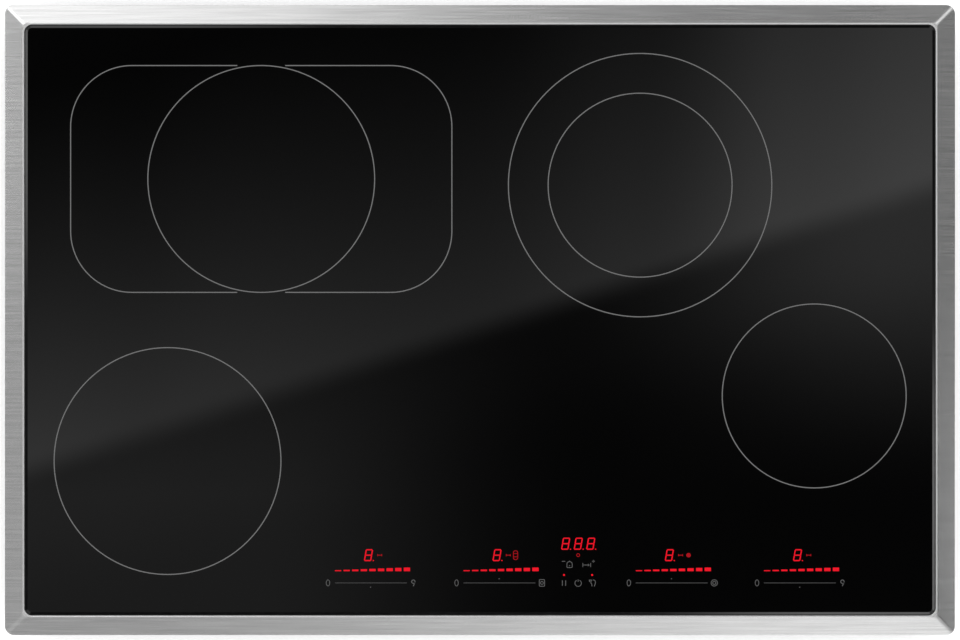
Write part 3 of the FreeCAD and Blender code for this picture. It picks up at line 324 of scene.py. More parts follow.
def litz_copper():
    """Stranded, lacquered copper wire."""
    n = Nodes("litz_copper")
    strands = n.node(
        "ShaderNodeTexWave", Vector=n.coords, Scale=420.0, Distortion=3.0, Detail=2.0
    ).outputs["Fac"]
    return n.principled(
        Base_Color=n.mix(strands, (0.42, 0.14, 0.05), (0.85, 0.42, 0.2)),
        Metallic=1.0,
        Roughness=n.ramp(strands, 0.0, 1.0, 0.28, 0.5),
        Normal=n.bump(strands, 0.0002, 0.6),
    )


def mica_sheet():
    """Pressed mica: warm flakes of uneven gloss."""
    n = Nodes("mica_sheet")
    tint = n.cells(240.0)
    return n.principled(
        Base_Color=n.mix(tint, (0.24, 0.2, 0.14), (0.4, 0.35, 0.27)),
        Roughness=n.ramp(tint, 0.0, 1.0, 0.3, 0.55),
        Normal=n.bump(tint, 0.00004, 0.4),
    )


def cad_materials():
    """Material of each of the record's slots."""
    return {
        "black_glass": black_glass(),
        "black_silicone": rubber("black_silicone", (0.006, 0.006, 0.006), 0.3),
        "grey_foam": rubber("grey_foam", (0.03, 0.03, 0.032), 0.85, 600.0, 0.0003),
        "galvanised_sheet": galvanised(),
        "zinc_screws": metal("zinc_plate", (0.62, 0.62, 0.58), 0.3),
        "aluminium_sheet": metal("mill_aluminium", (0.8, 0.8, 0.81), 0.34, (25.0, 700.0, 700.0)),
        "black_plastic": moulded("black_plastic", (0.014, 0.014, 0.015)),
        "white_plastic": moulded("white_plastic", (0.72, 0.7, 0.64)),
        "grey_plastic": moulded("grey_plastic", (0.06, 0.062, 0.066), 0.5),
        "carrier_plastic": moulded("carrier_plastic", (0.34, 0.33, 0.3), 0.6, 700.0),
        "motor_steel": metal("motor_steel", (0.4, 0.4, 0.41), 0.4, (60.0, 60.0, 2500.0), 0.0001),
        "green_board": circuit_board(),
        "capacitor_plastic": moulded("capacitor_plastic", (0.3, 0.05, 0.025), 0.3),
        "copper_wire": litz_copper(),
        "brass_screws": metal("turned_brass", (0.78, 0.58, 0.26), 0.25),
        "lead_insulation": moulded("lead_insulation", (0.5, 0.5, 0.48), 0.4),
        "display_plastic": moulded("display_plastic", (0.03, 0.006, 0.006), 0.22),
        "spring_steel": metal("spring_steel", (0.55, 0.55, 0.56), 0.28, (900.0, 900.0, 200.0)),
        "ferrite": moulded("ferrite", (0.035, 0.035, 0.038), 0.7, 400.0),
        "mica": mica_sheet(),
        "brushed_frame": brushed_steel("frame_underside", (0.6, 0.6, 0.6)),
    }


def paint_cad_nodes(materials):
    """Gives every carried-over CAD node the material of its slot."""
    slots = {part["node"]: part["material_slot"] for part in frame["record"]["subparts"]}
    for name, obj in frame["nodes"].items():
        obj.data.materials.clear()
        obj.data.materials.append(materials[slots[name]])


# ---- Mesh helpers -------------------------------------------------------------------------------
def make_piece(name, vertices, faces, materials, face_materials=None, smooth=True):
    """Mesh object that rides on the cooktop's body, with a material number for each face."""
    mesh = bpy.data.meshes.new(name)
    mesh.from_pydata([tuple(v) for v in vertices], [], faces)
    mesh.validate()
    for material in materials:
        mesh.materials.append(material)
    if face_materials:
        mesh.polygons.foreach_set("material_index", face_materials)
    mesh.polygons.foreach_set("use_smooth", [smooth] * len(mesh.polygons))
    obj = bpy.data.objects.new(name, mesh)
    bpy.context.scene.collection.objects.link(obj)
    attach(obj, ROOT)
    return obj


def arc(cx, cy, radius, start, end, steps):
    """Points along an arc, angles in degrees."""
    angles = [math.radians(start + (end - start) * i / steps) for i in range(steps + 1)]
    return [(cx + radius * math.cos(a), cy + radius * math.sin(a)) for a in angles]


def corner_arcs(half_x, half_y, radius, steps):
    """The four corners of a rounded rectangle about the origin, anticlockwise."""
    signs = ((1, 1), (-1, 1), (-1, -1), (1, -1))
    return [
        arc(sx * (half_x - radius), sy * (half_y - radius), radius, 90.0 * i, 90.0 * (i + 1), steps)
        for i, (sx, sy) in enumerate(signs)
    ]


def outline(half_x, half_y, radius, corner_steps=28, side_steps=36):
    """Rounded rectangle with points along its sides too, always the same count."""
    corners = corner_arcs(half_x, half_y, radius, corner_steps)
    whole = []
    for corner, following in zip(corners, corners[1:] + corners[:1]):
        whole += corner
        (x, y), (end_x, end_y) = corner[-1], following[0]
        for step in range(1, side_steps):
            t = step / side_steps
            whole.append((x + (end_x - x) * t, y + (end_y - y) * t))
    return whole


def between(ring_a, ring_b, t):
    """Outline part of the way from one outline to another."""
    return [(a[0] + (b[0] - a[0]) * t, a[1] + (b[1] - a[1]) * t) for a, b in zip(ring_a, ring_b)]


def ring_faces(count, rings, closed):
    """Quads between successive rings of vertices, each of the same count."""
    faces = []
    for ring in range(rings if closed else rings - 1):
        low, high = ring * count, ((ring + 1) % rings) * count
        for i in range(count):
            j = (i + 1) % count
            faces.append((low + i, low + j, high + j, high + i))
    return faces


# ---- Steel frame --------------------------------------------------------------------------------
def band_height(x, y):
    """Height of the frame's sloping faces, with rounded mitre ridges, under the rim's level."""
    to_side, to_end = HALF_Y - abs(y), HALF_X - abs(x)
    blend = max(RIDGE_BLEND - abs(to_side - to_end), 0.0) / RIDGE_BLEND
    inset = min(to_side, to_end) - blend * blend * RIDGE_BLEND / 4
    return min(SEAT_Z + LIP_H + SLOPE * inset, RIM_Z)


def rounded_drop(distance, radius):
    """How far a quarter-round edge has fallen at a distance from its outer side."""
    if distance >= radius:
        return 0.0
    return radius - math.sqrt(radius ** 2 - (radius - distance) ** 2)


def frame_top_rings():
    """Rings from the outer lip over the band to the rim's inner wall."""
    outer = outline(HALF_X, HALF_Y, OUTER_R)
    rings = [[(x, y, SEAT_Z) for x, y in outer]]
    for share in LIP_SHARES:
        d = share * LIP_ROUND
        path = outline(HALF_X - d, HALF_Y - d, OUTER_R - d)
        rings.append([(x, y, band_height(x, y) - rounded_drop(d, LIP_ROUND)) for x, y in path])
    lip_end = outline(HALF_X - LIP_ROUND, HALF_Y - LIP_ROUND, OUTER_R - LIP_ROUND)
    rim_start = outline(OPEN_X + RIM_GAP, OPEN_Y + RIM_GAP, OPEN_R + RIM_GAP)
    for step in range(1, BAND_STEPS + 1):
        path = between(lip_end, rim_start, step / BAND_STEPS)
        rings.append([(x, y, band_height(x, y)) for x, y in path])
    band_end = len(rings) - 1
    for place in ROLL_PLACES:
        d = place * MM
        out = d - BEAD
        path = outline(OPEN_X + out, OPEN_Y + out, OPEN_R + out)
        rings.append([(x, y, band_height(x, y) - rounded_drop(d, RIM_ROLL)) for x, y in path])
    wall_top = RIM_Z - RIM_ROLL - TUCK
    rings.append([(x, y, wall_top) for x, y in outline(OPEN_X, OPEN_Y, OPEN_R)])
    return rings, band_end


def frame_under_rings():
    """Rings from the shelf under the glass back through the hollow to the lip."""
    shelf_x, shelf_y = OPEN_X - SHELF_W, OPEN_Y - SHELF_W
    wall = outline(OPEN_X + SHEET, OPEN_Y + SHEET, OPEN_R + SHEET)
    lip = outline(HALF_X - SHEET, HALF_Y - SHEET, OUTER_R - SHEET)
    lowered = SHEET * math.sqrt(1 + SLOPE ** 2)
    rings = [
        [(x, y, SEAT_Z + SHEET) for x, y in outline(OPEN_X, OPEN_Y, OPEN_R)],
        [(x, y, SEAT_Z + SHEET) for x, y in outline(shelf_x, shelf_y, OPEN_R)],
        [(x, y, SEAT_Z) for x, y in outline(shelf_x, shelf_y, OPEN_R)],
        [(x, y, SEAT_Z) for x, y in wall],
    ]
    for t in (0.0, 0.33, 0.66, 1.0):
        path = between(wall, lip, t)
        rings.append([(x, y, band_height(x, y) - lowered) for x, y in path])
    rings.append([(x, y, SEAT_Z) for x, y in lip])
    return rings


def build_frame():
    """Whole pressed frame as one closed skin: brushed band, polished rim, plain underside."""
    top, band_end = frame_top_rings()
    rings = top + frame_under_rings()
    count = len(rings[0])
    faces = ring_faces(count, len(rings), closed=True)
    rim_rings = len(top) - 1 - band_end
    under_rings = len(rings) - band_end - rim_rings
    steel = brushed_steel("brushed_band", (0.74, 0.74, 0.74))
    piece = make_piece(
        "frame_skin",
        [v for ring in rings for v in ring],
        faces,
        [steel, rim_steel(), brushed_steel("frame_inside", (0.6, 0.6, 0.6))],
        [0] * (count * band_end) + [1] * (count * rim_rings) + [2] * (count * under_rings),
    )
    sharpen(piece, 35.0)
    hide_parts("steel_frame")


def sharpen(piece, degrees):
    """Marks edges sharper than an angle, so that smooth shading stops at them."""
    mesh = piece.data
    mesh.update()
    edge_faces = {}
    for polygon in mesh.polygons:
        for key in polygon.edge_keys:
            edge_faces.setdefault(key, []).append(polygon.normal)
    limit = math.cos(math.radians(degrees))
    sharp = []
    for edge in mesh.edges:
        normals = edge_faces.get(edge.key, [])
        sharp.append(len(normals) == 2 and normals[0].dot(normals[1]) < limit)
    mesh.attributes.new("sharp_edge", "BOOLEAN", "EDGE").data.foreach_set("value", sharp)


# ---- Glass --------------------------------------------------------------------------------------
def build_glass():
    """Glass plate with a ground facet around its polished face; returns the facet's lower level."""
    facet_low = GLASS_Z - FACET_W * FACET_SLOPE
    plan = [
        (FACET_W, GLASS_R - FACET_W, GLASS_Z),
        (0.0, GLASS_R, facet_low),
        (0.0, GLASS_R, GLASS_LOW.z),
    ]
    rings = [
        [(x, y, z) for x, y in outline(GLASS_X - inset, GLASS_Y - inset, radius)]
        for inset, radius, z in plan
    ]
    count = len(rings[0])
    faces = [tuple(range(count))]
    faces += [tuple(reversed(face)) for face in ring_faces(count, len(rings), closed=False)]
    last = (len(rings) - 1) * count
    faces.append(tuple(range(last + count - 1, last - 1, -1)))
    piece = make_piece(
        "glass_skin",
        [v for ring in rings for v in ring],
        faces,
        [black_glass(), ground_facet("facet", 0.08)],
        [0] + [1] * (2 * count) + [0],
        smooth=False,
    )
    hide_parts("glass_plate")
    return facet_low


def build_seal(facet_low):
    """Silicone joint between glass and rim, smoothed off in line with the glass's facet."""
    wall = outline(OPEN_X, OPEN_Y, OPEN_R)
    edge = outline(GLASS_X, GLASS_Y, GLASS_R)
    fall = (OPEN_X - GLASS_X) * FACET_SLOPE
    rings = [[(x, y, SEAL_LOW.z) for x, y in wall]]
    for t in (0.0, 0.5, 1.0):
        height = facet_low - fall * (1 - t) - SEAL_DIP
        rings.append([(x, y, height) for x, y in between(wall, edge, t)])
    rings.append([(x, y, SEAL_LOW.z) for x, y in edge])
    piece = make_piece(
        "seal_skin",
        [v for ring in rings for v in ring],
        ring_faces(len(wall), len(rings), closed=True),
        [rubber("seal_silicone", (0.002, 0.002, 0.002), 0.14, 300.0, 0.000002)],
    )
    sharpen(piece, 50.0)
    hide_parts("edge_seal")


# ---- Coil springs -------------------------------------------------------------------------------
def build_springs():
    """The springs under each coil carrier, copied so that they ride on their module."""
    for zone in ZONES:
        node = f"carrier_springs_{zone}"
        cad, (low, high) = frame["nodes"][node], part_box(node)
        springs = bpy.data.objects.new(f"springs_{zone}", cad.data.copy())
        springs.matrix_world = cad.matrix_world
        bpy.context.scene.collection.objects.link(springs)
        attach(springs, f"coil_module_{zone}")
        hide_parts(node)
        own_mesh(springs)


# ---- Flat prints and lamps on the glass ---------------------------------------------------------
class Print:
    """Collects thin flat strokes and dots that lie on the glass, and turns them into one mesh."""

    def __init__(self, name, material):
        self.name, self.material = name, material
        self.low = GLASS_Z + PRINT_LIFT
        self.vertices, self.faces = [], []

    def patch(self, ring):
        """Filled outline, as a thin slab."""
        start, count = len(self.vertices), len(ring)
        for z in (self.low, self.low + PRINT_T):
            self.vertices += [(x, y, z) for x, y in ring]
        self.faces.append(tuple(range(start + count, start + 2 * count)))
        self.faces.append(tuple(range(start + count - 1, start - 1, -1)))
        for i in range(count):
            j = (i + 1) % count
            self.faces.append((start + i, start + j, start + count + j, start + count + i))

    def stroke(self, points, width, closed=False):
        """Line of even width through the points, mitred at its bends, with square ends."""
        half = width / 2
        left, right = [], []
        count = len(points)
        for i, here in enumerate(points):
            before = Vector(points[i - 1]) if closed or i else None
            after = Vector(points[(i + 1) % count]) if closed or i < count - 1 else None
            here = Vector(here)
            along_in = (here - before).normalized() if before is not None else None
            along_out = (after - here).normalized() if after is not None else None
            along_in, along_out = along_in or along_out, along_out or along_in
            normal = Vector((-along_in.y - along_out.y, along_in.x + along_out.x)).normalized()
            reach = half / max(normal.dot(Vector((-along_in.y, along_in.x))), MITRE_LEAST)
            left.append(here + normal * reach)
            right.append(here - normal * reach)
        spans = count if closed else count - 1
        for i in range(spans):
            j = (i + 1) % count
            self.patch([tuple(right[i]), tuple(right[j]), tuple(left[j]), tuple(left[i])])

    def ring(self, centre, radius, width, start=0.0, end=360.0):
        """Circle or arc of even width, angles in degrees."""
        closed = end - start >= 360.0
        steps = max(12, int((end - start) / 360.0 * (24 + radius / MM * 1.6)))
        points = arc(*centre, radius, start, end, steps)
        self.stroke(points[:-1] if closed else points, width, closed)

    def disc(self, centre, radius):
        """Round dot."""
        self.patch(arc(*centre, radius, 0.0, 360.0, 24)[:-1])

    def bar(self, x_low, x_high, y_low, y_high):
        """Upright rectangle."""
        self.patch([(x_low, y_low), (x_high, y_low), (x_high, y_high), (x_low, y_high)])

    def finish(self):
        """Makes the piece."""
        materials = [self.material]
        make_piece(self.name, self.vertices, self.faces, materials, smooth=False)


# ---- Cooking zones ------------------------------------------------------------------------------
LARGE_R, SMALL_R, WIDE_R = 89.9 * MM, 72.9 * MM, 104.4 * MM
ZONE_RINGS = (
    ("front_left", LARGE_R),
    ("rear_left", LARGE_R),
    ("rear_right", WIDE_R),
    ("rear_right", SMALL_R),
    ("front_right", SMALL_R),
)
ROASTER_HALF, ROASTER_CORNER = 151.1 * MM, 48.5 * MM    # half-length and corner of the long zone
ROASTER_GAP = 19.0 * MM                                 # its line stops this far from its middle


def zone_centre(name):
    """Centre of a zone in plan: that of its coil's insulation disc."""
    low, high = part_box(f"insulation_disc_{name}")
    return (low.x + high.x) / 2, (low.y + high.y) / 2


def open_half(half_x, half_y, radius, gap):
    """Right half of a rounded rectangle about the origin, open for a gap beside its middle."""
    cx, cy, steps = half_x - radius, half_y - radius, 24
    upper, lower = arc(cx, cy, radius, 90.0, 0.0, steps), arc(cx, -cy, radius, 0.0, -90.0, steps)
    return [(gap, half_y), *upper, *lower, (gap, -half_y)]


def build_zones():
    """Thin grey outlines of the four cooking zones."""
    lines = Print("zone_print", printed_enamel("zone_enamel", (0.085, 0.085, 0.085)))
    for zone, radius in ZONE_RINGS:
        lines.ring(zone_centre(zone), radius, LINE_W)
    cx, cy = zone_centre("rear_left")
    right = open_half(ROASTER_HALF, LARGE_R, ROASTER_CORNER, ROASTER_GAP)
    for side in (1, -1):
        lines.stroke([(cx + side * x, cy + y) for x, y in right], LINE_W)
    lines.finish()


# ---- Control panel ------------------------------------------------------------------------------
SLIDER_STARTS = [x * MM for x in (-115.0, -13.1, 123.5, 225.1)]
SLIDER_LENGTH = 57.0 * MM
SLIDER_Y, BARS_Y, DIGIT_Y = -208.4 * MM, -199.1 * MM, -186.4 * MM    # a slider's three rows
DOT_ABOVE, DOT_BELOW = 3.3 * MM, -3.4 * MM                           # dots beside its line
PANEL_X, TIMER_Y = 77.8 * MM, -177.3 * MM                            # middle keys and their display
KEY_LAMPS_Y, KEYS_Y = -202.1 * MM, -208.5 * MM
SIGN_Y = -191.3 * MM                                                 # minus and plus
DIGIT_W, DIGIT_STROKE, DIGIT_LEAN = 5.9 * MM, 0.95 * MM, 0.17
LAMP_GLOW = 0.88
DIM_GLOW = 0.4 * LAMP_GLOW


def seven_segment(lamps, x, y, height):
    """Leaning figure eight of seven separate segments, with its decimal point."""
    half_h, half_w = height / 2 - DIGIT_STROKE / 2, DIGIT_W / 2 - DIGIT_STROKE / 2
    gap = 0.12 * MM

    def place(px, py):
        return x + px + py * DIGIT_LEAN, y + py

    for level in (-half_h, 0.0, half_h):
        lamps.stroke([place(-half_w + gap, level), place(half_w - gap, level)], DIGIT_STROKE)
    for side in (-half_w, half_w):
        for low, high in ((-half_h, 0.0), (0.0, half_h)):
            lamps.stroke([place(side, low + gap), place(side, high - gap)], DIGIT_STROKE)
    lamps.disc(place(half_w + 2.1 * MM, -half_h), 0.5 * MM)


def power_bars(lamps, x):
    """Nine power steps that grow in height from left to right."""
    bars, pitch, width = 9, 6.82 * MM, 5.0 * MM
    for i in range(bars):
        height = (0.8 + 2.1 * i / (bars - 1)) * MM
        left = x + i * pitch
        lamps.bar(left, left + width, BARS_Y, BARS_Y + height)


def bridge_symbol(dim, x):
    """Small symbol beside the digit: two uprights joined through the middle."""
    y, half_w, half_h, width = DIGIT_Y, 1.6 * MM, 0.85 * MM, 0.6 * MM
    for side in (-1, 1):
        dim.stroke([(x + side * half_w, y - half_h), (x + side * half_w, y + half_h)], width)
    dim.stroke([(x - half_w, y), (x + half_w, y)], width)


def rounded_path(cx, cy, half_x, half_y, radius):
    """Closed rounded rectangle."""
    corners = corner_arcs(half_x, half_y, radius, 8)
    return [(cx + x, cy + y) for corner in corners for x, y in corner]


def oval(cx, cy, half_x, half_y):
    """Closed ellipse."""
    return [(cx + half_x * x, cy + half_y * y) for x, y in arc(0.0, 0.0, 1.0, 0.0, 360.0, 28)[:-1]]


def figure_nine(icons, cx, cy):
    """Numeral nine: a bowl and a straight leaning stem."""
    width = 0.6 * MM
    icons.ring((cx, cy + 0.95 * MM), 1.35 * MM, width)
    icons.stroke([(cx + 1.25 * MM, cy + 0.5 * MM), (cx - 0.1 * MM, cy - 2.6 * MM)], width)


def double_ring_icon(icons, cx, cy):
    """Two-ring zone's icon."""
    for radius in (2.5 * MM, 1.25 * MM):
        icons.ring((cx, cy), radius, ICON_W)


def roasting_icon(icons, cx, cy):
    """Roasting-zone icon: a circle in a rounded frame."""
    icons.stroke(rounded_path(cx, cy, 2.1 * MM, 2.65 * MM, 0.7 * MM), ICON_W, closed=True)
    icons.ring((cx, cy), 1.15 * MM, ICON_W)


def roasting_lamp(dim, cx, cy):
    """Lamp beside slider two: an upright oval with two bars across."""
    half_x, half_y, width = 1.7 * MM, 3.5 * MM, 0.55 * MM
    dim.stroke(rounded_path(cx, cy, half_x, half_y, 1.5 * MM), width, closed=True)
    for level in (-1.3 * MM, 1.3 * MM):
        dim.stroke([(cx - half_x, cy + level), (cx + half_x, cy + level)], width)


def build_sliders():
    """The four power sliders: printed lines and figures, and their lamps."""
    line = Print("slider_print", printed_enamel("slider_enamel", (0.024, 0.024, 0.024)))
    icons = Print("slider_icons", printed_enamel("icon_enamel", (0.05, 0.05, 0.05)))
    lamps = Print("slider_lamps", lit_red("lamp_red", LAMP_GLOW))
    dim = Print("indicator_lamps", lit_red("lamp_dim", DIM_GLOW))
    end_icons = (figure_nine, roasting_icon, double_ring_icon, figure_nine)
    dots = (DOT_BELOW, DOT_ABOVE, DOT_ABOVE, DOT_BELOW)
    half_line = 0.25 * MM
    for x, end_icon, dot in zip(SLIDER_STARTS, end_icons, dots):
        line.bar(x, x + SLIDER_LENGTH, SLIDER_Y - half_line, SLIDER_Y + half_line)
        icons.stroke(oval(x - 5.5 * MM, SLIDER_Y, 1.4 * MM, 2.4 * MM), ICON_W, closed=True)
        icons.disc((x + 28.3 * MM, SLIDER_Y + dot), 0.4 * MM)
        seven_segment(lamps, x + 26.6 * MM, DIGIT_Y, 9.5 * MM)
        power_bars(lamps, x)
        bridge_symbol(dim, x + 35.5 * MM)
        end_icon(icons, x + 62.2 * MM, SLIDER_Y)
    roasting_lamp(dim, SLIDER_STARTS[1] + 41.3 * MM, DIGIT_Y)
    dim.disc((SLIDER_STARTS[2] + 41.8 * MM, DIGIT_Y), 1.8 * MM)
    for printed in (line, icons, lamps, dim):
        printed.finish()


def bell_icon(icons, cx, cy):
    """Timer bell: domed body with a knob above and the clapper below."""
    half, foot, corner = 2.1 * MM, 2.2 * MM, 0.6 * MM
    body = arc(cx, cy + 0.4 * MM, half, 0.0, 180.0, 14)
    body += arc(cx - half + corner, cy - foot + corner, corner, 180.0, 270.0, 4)
    body += arc(cx + half - corner, cy - foot + corner, corner, 270.0, 360.0, 4)
    icons.stroke(body, ICON_W, closed=True)
    icons.disc((cx, cy + 2.9 * MM), 0.35 * MM)
    icons.disc((cx, cy - 0.7 * MM), 0.4 * MM)


def duration_icon(icons, cx, cy):
    """Arrow between two bars."""
    half_w, half_h = 3.1 * MM, 1.6 * MM
    for side in (-1, 1):
        x = cx + side * half_w
        icons.stroke([(x, cy - half_h), (x, cy + half_h)], ICON_W)
    icons.stroke([(cx - half_w, cy), (cx + 1.5 * MM, cy)], ICON_W)
    head, tip, head_half = cx + 0.9 * MM, cx + 2.4 * MM, 1.1 * MM
    icons.patch([(head, cy - head_half), (tip, cy), (head, cy + head_half)])


def wipe_icon(icons, cx, cy):
    """Wipe protection: a hand's outline drawn as two bent strokes."""
    sweep = [(cx - 0.2 * MM, cy - 2.6 * MM), (cx - 0.5 * MM, cy - 0.6 * MM)]
    sweep += arc(cx + 0.7 * MM, cy + 0.6 * MM, 1.9 * MM, 200.0, -3.0, 7)
    sweep.append((cx + 1.6 * MM, cy - 2.7 * MM))
    icons.stroke(sweep, ICON_W)
    fingers = [(cx + 0.6 * MM, cy + 2.4 * MM), (cx - 2.3 * MM, cy + 2.3 * MM)]
    fingers += [(cx - 2.2 * MM, cy + 1.2 * MM), (cx - 0.6 * MM, cy + 0.9 * MM)]
    icons.stroke(fingers, ICON_W)


def power_icon(icons, cx, cy):
    """Open ring with an upright bar."""
    icons.ring((cx, cy), 2.55 * MM, ICON_W, 118.0, 422.0)
    icons.stroke([(cx, cy + 1.0 * MM), (cx, cy + 2.9 * MM)], ICON_W)


def sign(icons, cx, half, upright):
    """Minus sign, or plus sign with its upright."""
    icons.stroke([(cx - half, SIGN_Y), (cx + half, SIGN_Y)], ICON_W)
    if upright:
        icons.stroke([(cx, SIGN_Y - half), (cx, SIGN_Y + half)], ICON_W)


def build_centre_keys():
    """Timer display and the keys in the middle of the panel."""
    icons = Print("key_icons", printed_enamel("key_enamel", (0.05, 0.05, 0.05)))
    lamps = Print("timer_lamps", lit_red("timer_red", LAMP_GLOW))
    ring = Print("timer_ring", lit_red("ring_red", DIM_GLOW))
    for offset in (-9.9 * MM, 0.1 * MM, 10.0 * MM):
        seven_segment(lamps, PANEL_X + offset, TIMER_Y, 9.6 * MM)
    ring.ring((PANEL_X, DIGIT_Y), 1.2 * MM, ICON_W)
    for offset in (-11.2 * MM, 11.1 * MM):
        lamps.disc((PANEL_X + offset, KEY_LAMPS_Y), 0.8 * MM)
    sign(icons, PANEL_X - 11.6 * MM, 1.3 * MM, upright=False)
    sign(icons, PANEL_X + 12.1 * MM, 1.1 * MM, upright=True)
    bell_icon(icons, PANEL_X - 6.8 * MM, SIGN_Y - 2.7 * MM)
    duration_icon(icons, PANEL_X + 6.8 * MM, SIGN_Y - 2.9 * MM)
    for offset in (-12.5 * MM, -9.9 * MM):
        bar_x, half = PANEL_X + offset, 2.15 * MM
        icons.stroke([(bar_x, KEYS_Y - half), (bar_x, KEYS_Y + half)], 0.55 * MM)
    power_icon(icons, PANEL_X, KEYS_Y - 0.1 * MM)
    wipe_icon(icons, PANEL_X + 11.2 * MM, KEYS_Y)
    for printed in (icons, lamps, ring):
        printed.finish()


# ---- Studio -------------------------------------------------------------------------------------
CAMERA_LENS, SENSOR_WIDTH = 240.0, 36.0            # in mm, as the camera takes them
VIEW_WIDTH, VIEW_LEVEL = 761.35 * MM, 53.0 * MM    # width that the picture takes in at a level

# The ceiling card. Its tones run from 0 to 255, and its places are shares of the glass's half-sizes.
SKY_HEIGHT, SKY_MARGIN = 3.05, 0.04
SKY_GAIN = 23.0                                    # how much brighter the card is than its mirror image
SKY_LEAST = 1.5                                    # darkest tone
EDGE_TILT, EDGE_SHIFT = 0.4845, -0.027             # the slanting edge's rise and middle
EDGE_SOFT = (-0.065, 0.055)                        # from its lower side to its upper side
EDGE_TONES = ((-1.0, 51.0), (-0.7, 45.0), (0.0, 35.0), (0.35, 41.0), (0.7, 58.0), (1.0, 64.0))
FADE, FADE_DRIFT, FADE_BEND = 28.5, 7.0, 2.5       # fall of the tone over the edge, and its change with x
LEFT_TONE, LEFT_REACH = 25.5, (0.31, -0.50)        # glow under the edge at the left, and where it grows
LEFT_SHARE, LEFT_DROP = 0.35, 1.1                  # its share at mid-height, and the change with y
RIGHT_TONE, RIGHT_REACH, RIGHT_RISE = 36.0, (0.09, 0.93), (-0.68, 0.23)
NEAR_TONE, NEAR_REACH = 4.5, (-0.55, -0.10)        # faint glow just under the edge

# Glow of the side cards, as stops of place and strength. A band's places are those on its card,
# a facet's are those along the glass, in metres.
BAND_GLOW = {
    "back": ((-0.23, 1.38), (-0.02, 0.235), (0.55, 0.185)),
    "front": ((-0.32, 0.35), (0.27, 0.97)),
    "left": ((-0.30, 0.41), (0.20, 0.345), (0.45, 0.46)),
    "right": ((-0.40, 0.02), (-0.10, 0.10), (0.20, 0.18), (0.40, 0.18)),
}
FACET_GLOW = {
    "back": ((-0.28, 1.3), (-0.10, 0.03)),
    "front": ((0.12, 0.03), (0.29, 2.3)),
    "left": ((-0.12, 0.03), (0.0, 0.1), (0.14, 2.3)),
    "right": ((-0.12, 2.7), (0.015, 0.2), (0.14, 0.04)),
}
SIDES = {"back": (0, 1), "front": (0, -1), "left": (-1, 0), "right": (1, 0)}
BAND_OUT_X, BAND_OUT_Y, BAND_UP = 1.93, 1.8, 2.13    # place of the bands' cards
BAND_LENGTH, BAND_DEPTH = 0.95, 0.6                  # their half-sizes
FACET_RUN = 0.62                                     # facets' cards stand this far beyond the glass
FACET_LENGTH, FACET_DEPTH = 0.62, 0.032              # their half-sizes
CORNER_GLOW = {(-1, 1): 3.6, (1, 1): 1.3, (-1, -1): 0.43, (1, -1): 0.42}
CORNER_OUT_X, CORNER_OUT_Y, CORNER_UP, CORNER_HALF = 1.23, 1.1, 2.3, 0.3

FLOOR_HALF, FLOOR_DROP = 12.0, 0.5 * MM
LIGHT_SIDE, LIGHT_HEIGHT, LIGHT_POWER = 5.0, 3.4, 200.0
SURROUND_LIGHT, SURROUND_SEEN = 0.65, 1.0            # the surround's strength as light, and as backdrop


def build_camera():
    """Long lens straight above, with the back of the cooktop at the top of the picture."""
    data = bpy.data.cameras.new("camera")
    data.lens = CAMERA_LENS
    data.sensor_width = SENSOR_WIDTH
    distance = VIEW_WIDTH * CAMERA_LENS / SENSOR_WIDTH
    camera = bpy.data.objects.new("camera", data)
    camera.location = (0.0, 0.0, VIEW_LEVEL + distance)
    bpy.context.scene.collection.objects.link(camera)
    bpy.context.scene.camera = camera
    return distance


def eased(n, value, stops):
    """Strength that eases between stops of (place, level)."""
    low, high = stops[0][0], stops[-1][0]
    ramp = n.tree.nodes.new("ShaderNodeValToRGB")
    ramp.color_ramp.interpolation = "EASE"
    elements = ramp.color_ramp.elements
    while len(elements) < len(stops):
        elements.new(0.5)
    peak = max(level for _, level in stops)
    for element, (place, level) in zip(elements, stops):
        share = level / peak
        element.position = (place - low) / (high - low)
        element.color = (share, share, share, 1.0)
    n.put(ramp.inputs[0], n.ramp(value, low, high))
    return n.math("MULTIPLY", ramp.outputs[0], peak)


def glow_material(name, axis, stops):
    """Glow whose strength changes along one axis of the frame."""
    n = Nodes(name)
    place = n.node("ShaderNodeSeparateXYZ", Vector=n.coords).outputs[axis]
    return n.emitter(eased(n, place, stops))


def stage_card(name, centre, along, half_length, half_depth, material):
    """Reflector card facing the cooktop, seen in reflections only."""
    centre, along = Vector(centre), Vector(along)
    across = centre.cross(along).normalized()
    corners = [
        centre + along * half_length * i + across * half_depth * j
        for i, j in ((-1, -1), (1, -1), (1, 1), (-1, 1))
    ]
    mesh = bpy.data.meshes.new(name)
    mesh.from_pydata([tuple(corner) for corner in corners], [], [(0, 1, 2, 3)])
    mesh.materials.append(material)
    card = bpy.data.objects.new(name, mesh)
    bpy.context.scene.collection.objects.link(card)
    card.visible_camera = False
    card.visible_diffuse = False
    card.visible_shadow = False


def tone_over_edge(n, x, above):
    """Tone on the upper side of the slanting edge, which fades away from it."""
    along = eased(n, x, EDGE_TONES)
    bend = n.math("MULTIPLY", n.math("MULTIPLY", x, x), FADE_BEND)
    fall = n.math("ADD", n.math("SUBTRACT", FADE, n.math("MULTIPLY", x, FADE_DRIFT)), bend)
    return n.math("MAXIMUM", n.math("SUBTRACT", along, n.math("MULTIPLY", above, fall)), SKY_LEAST)


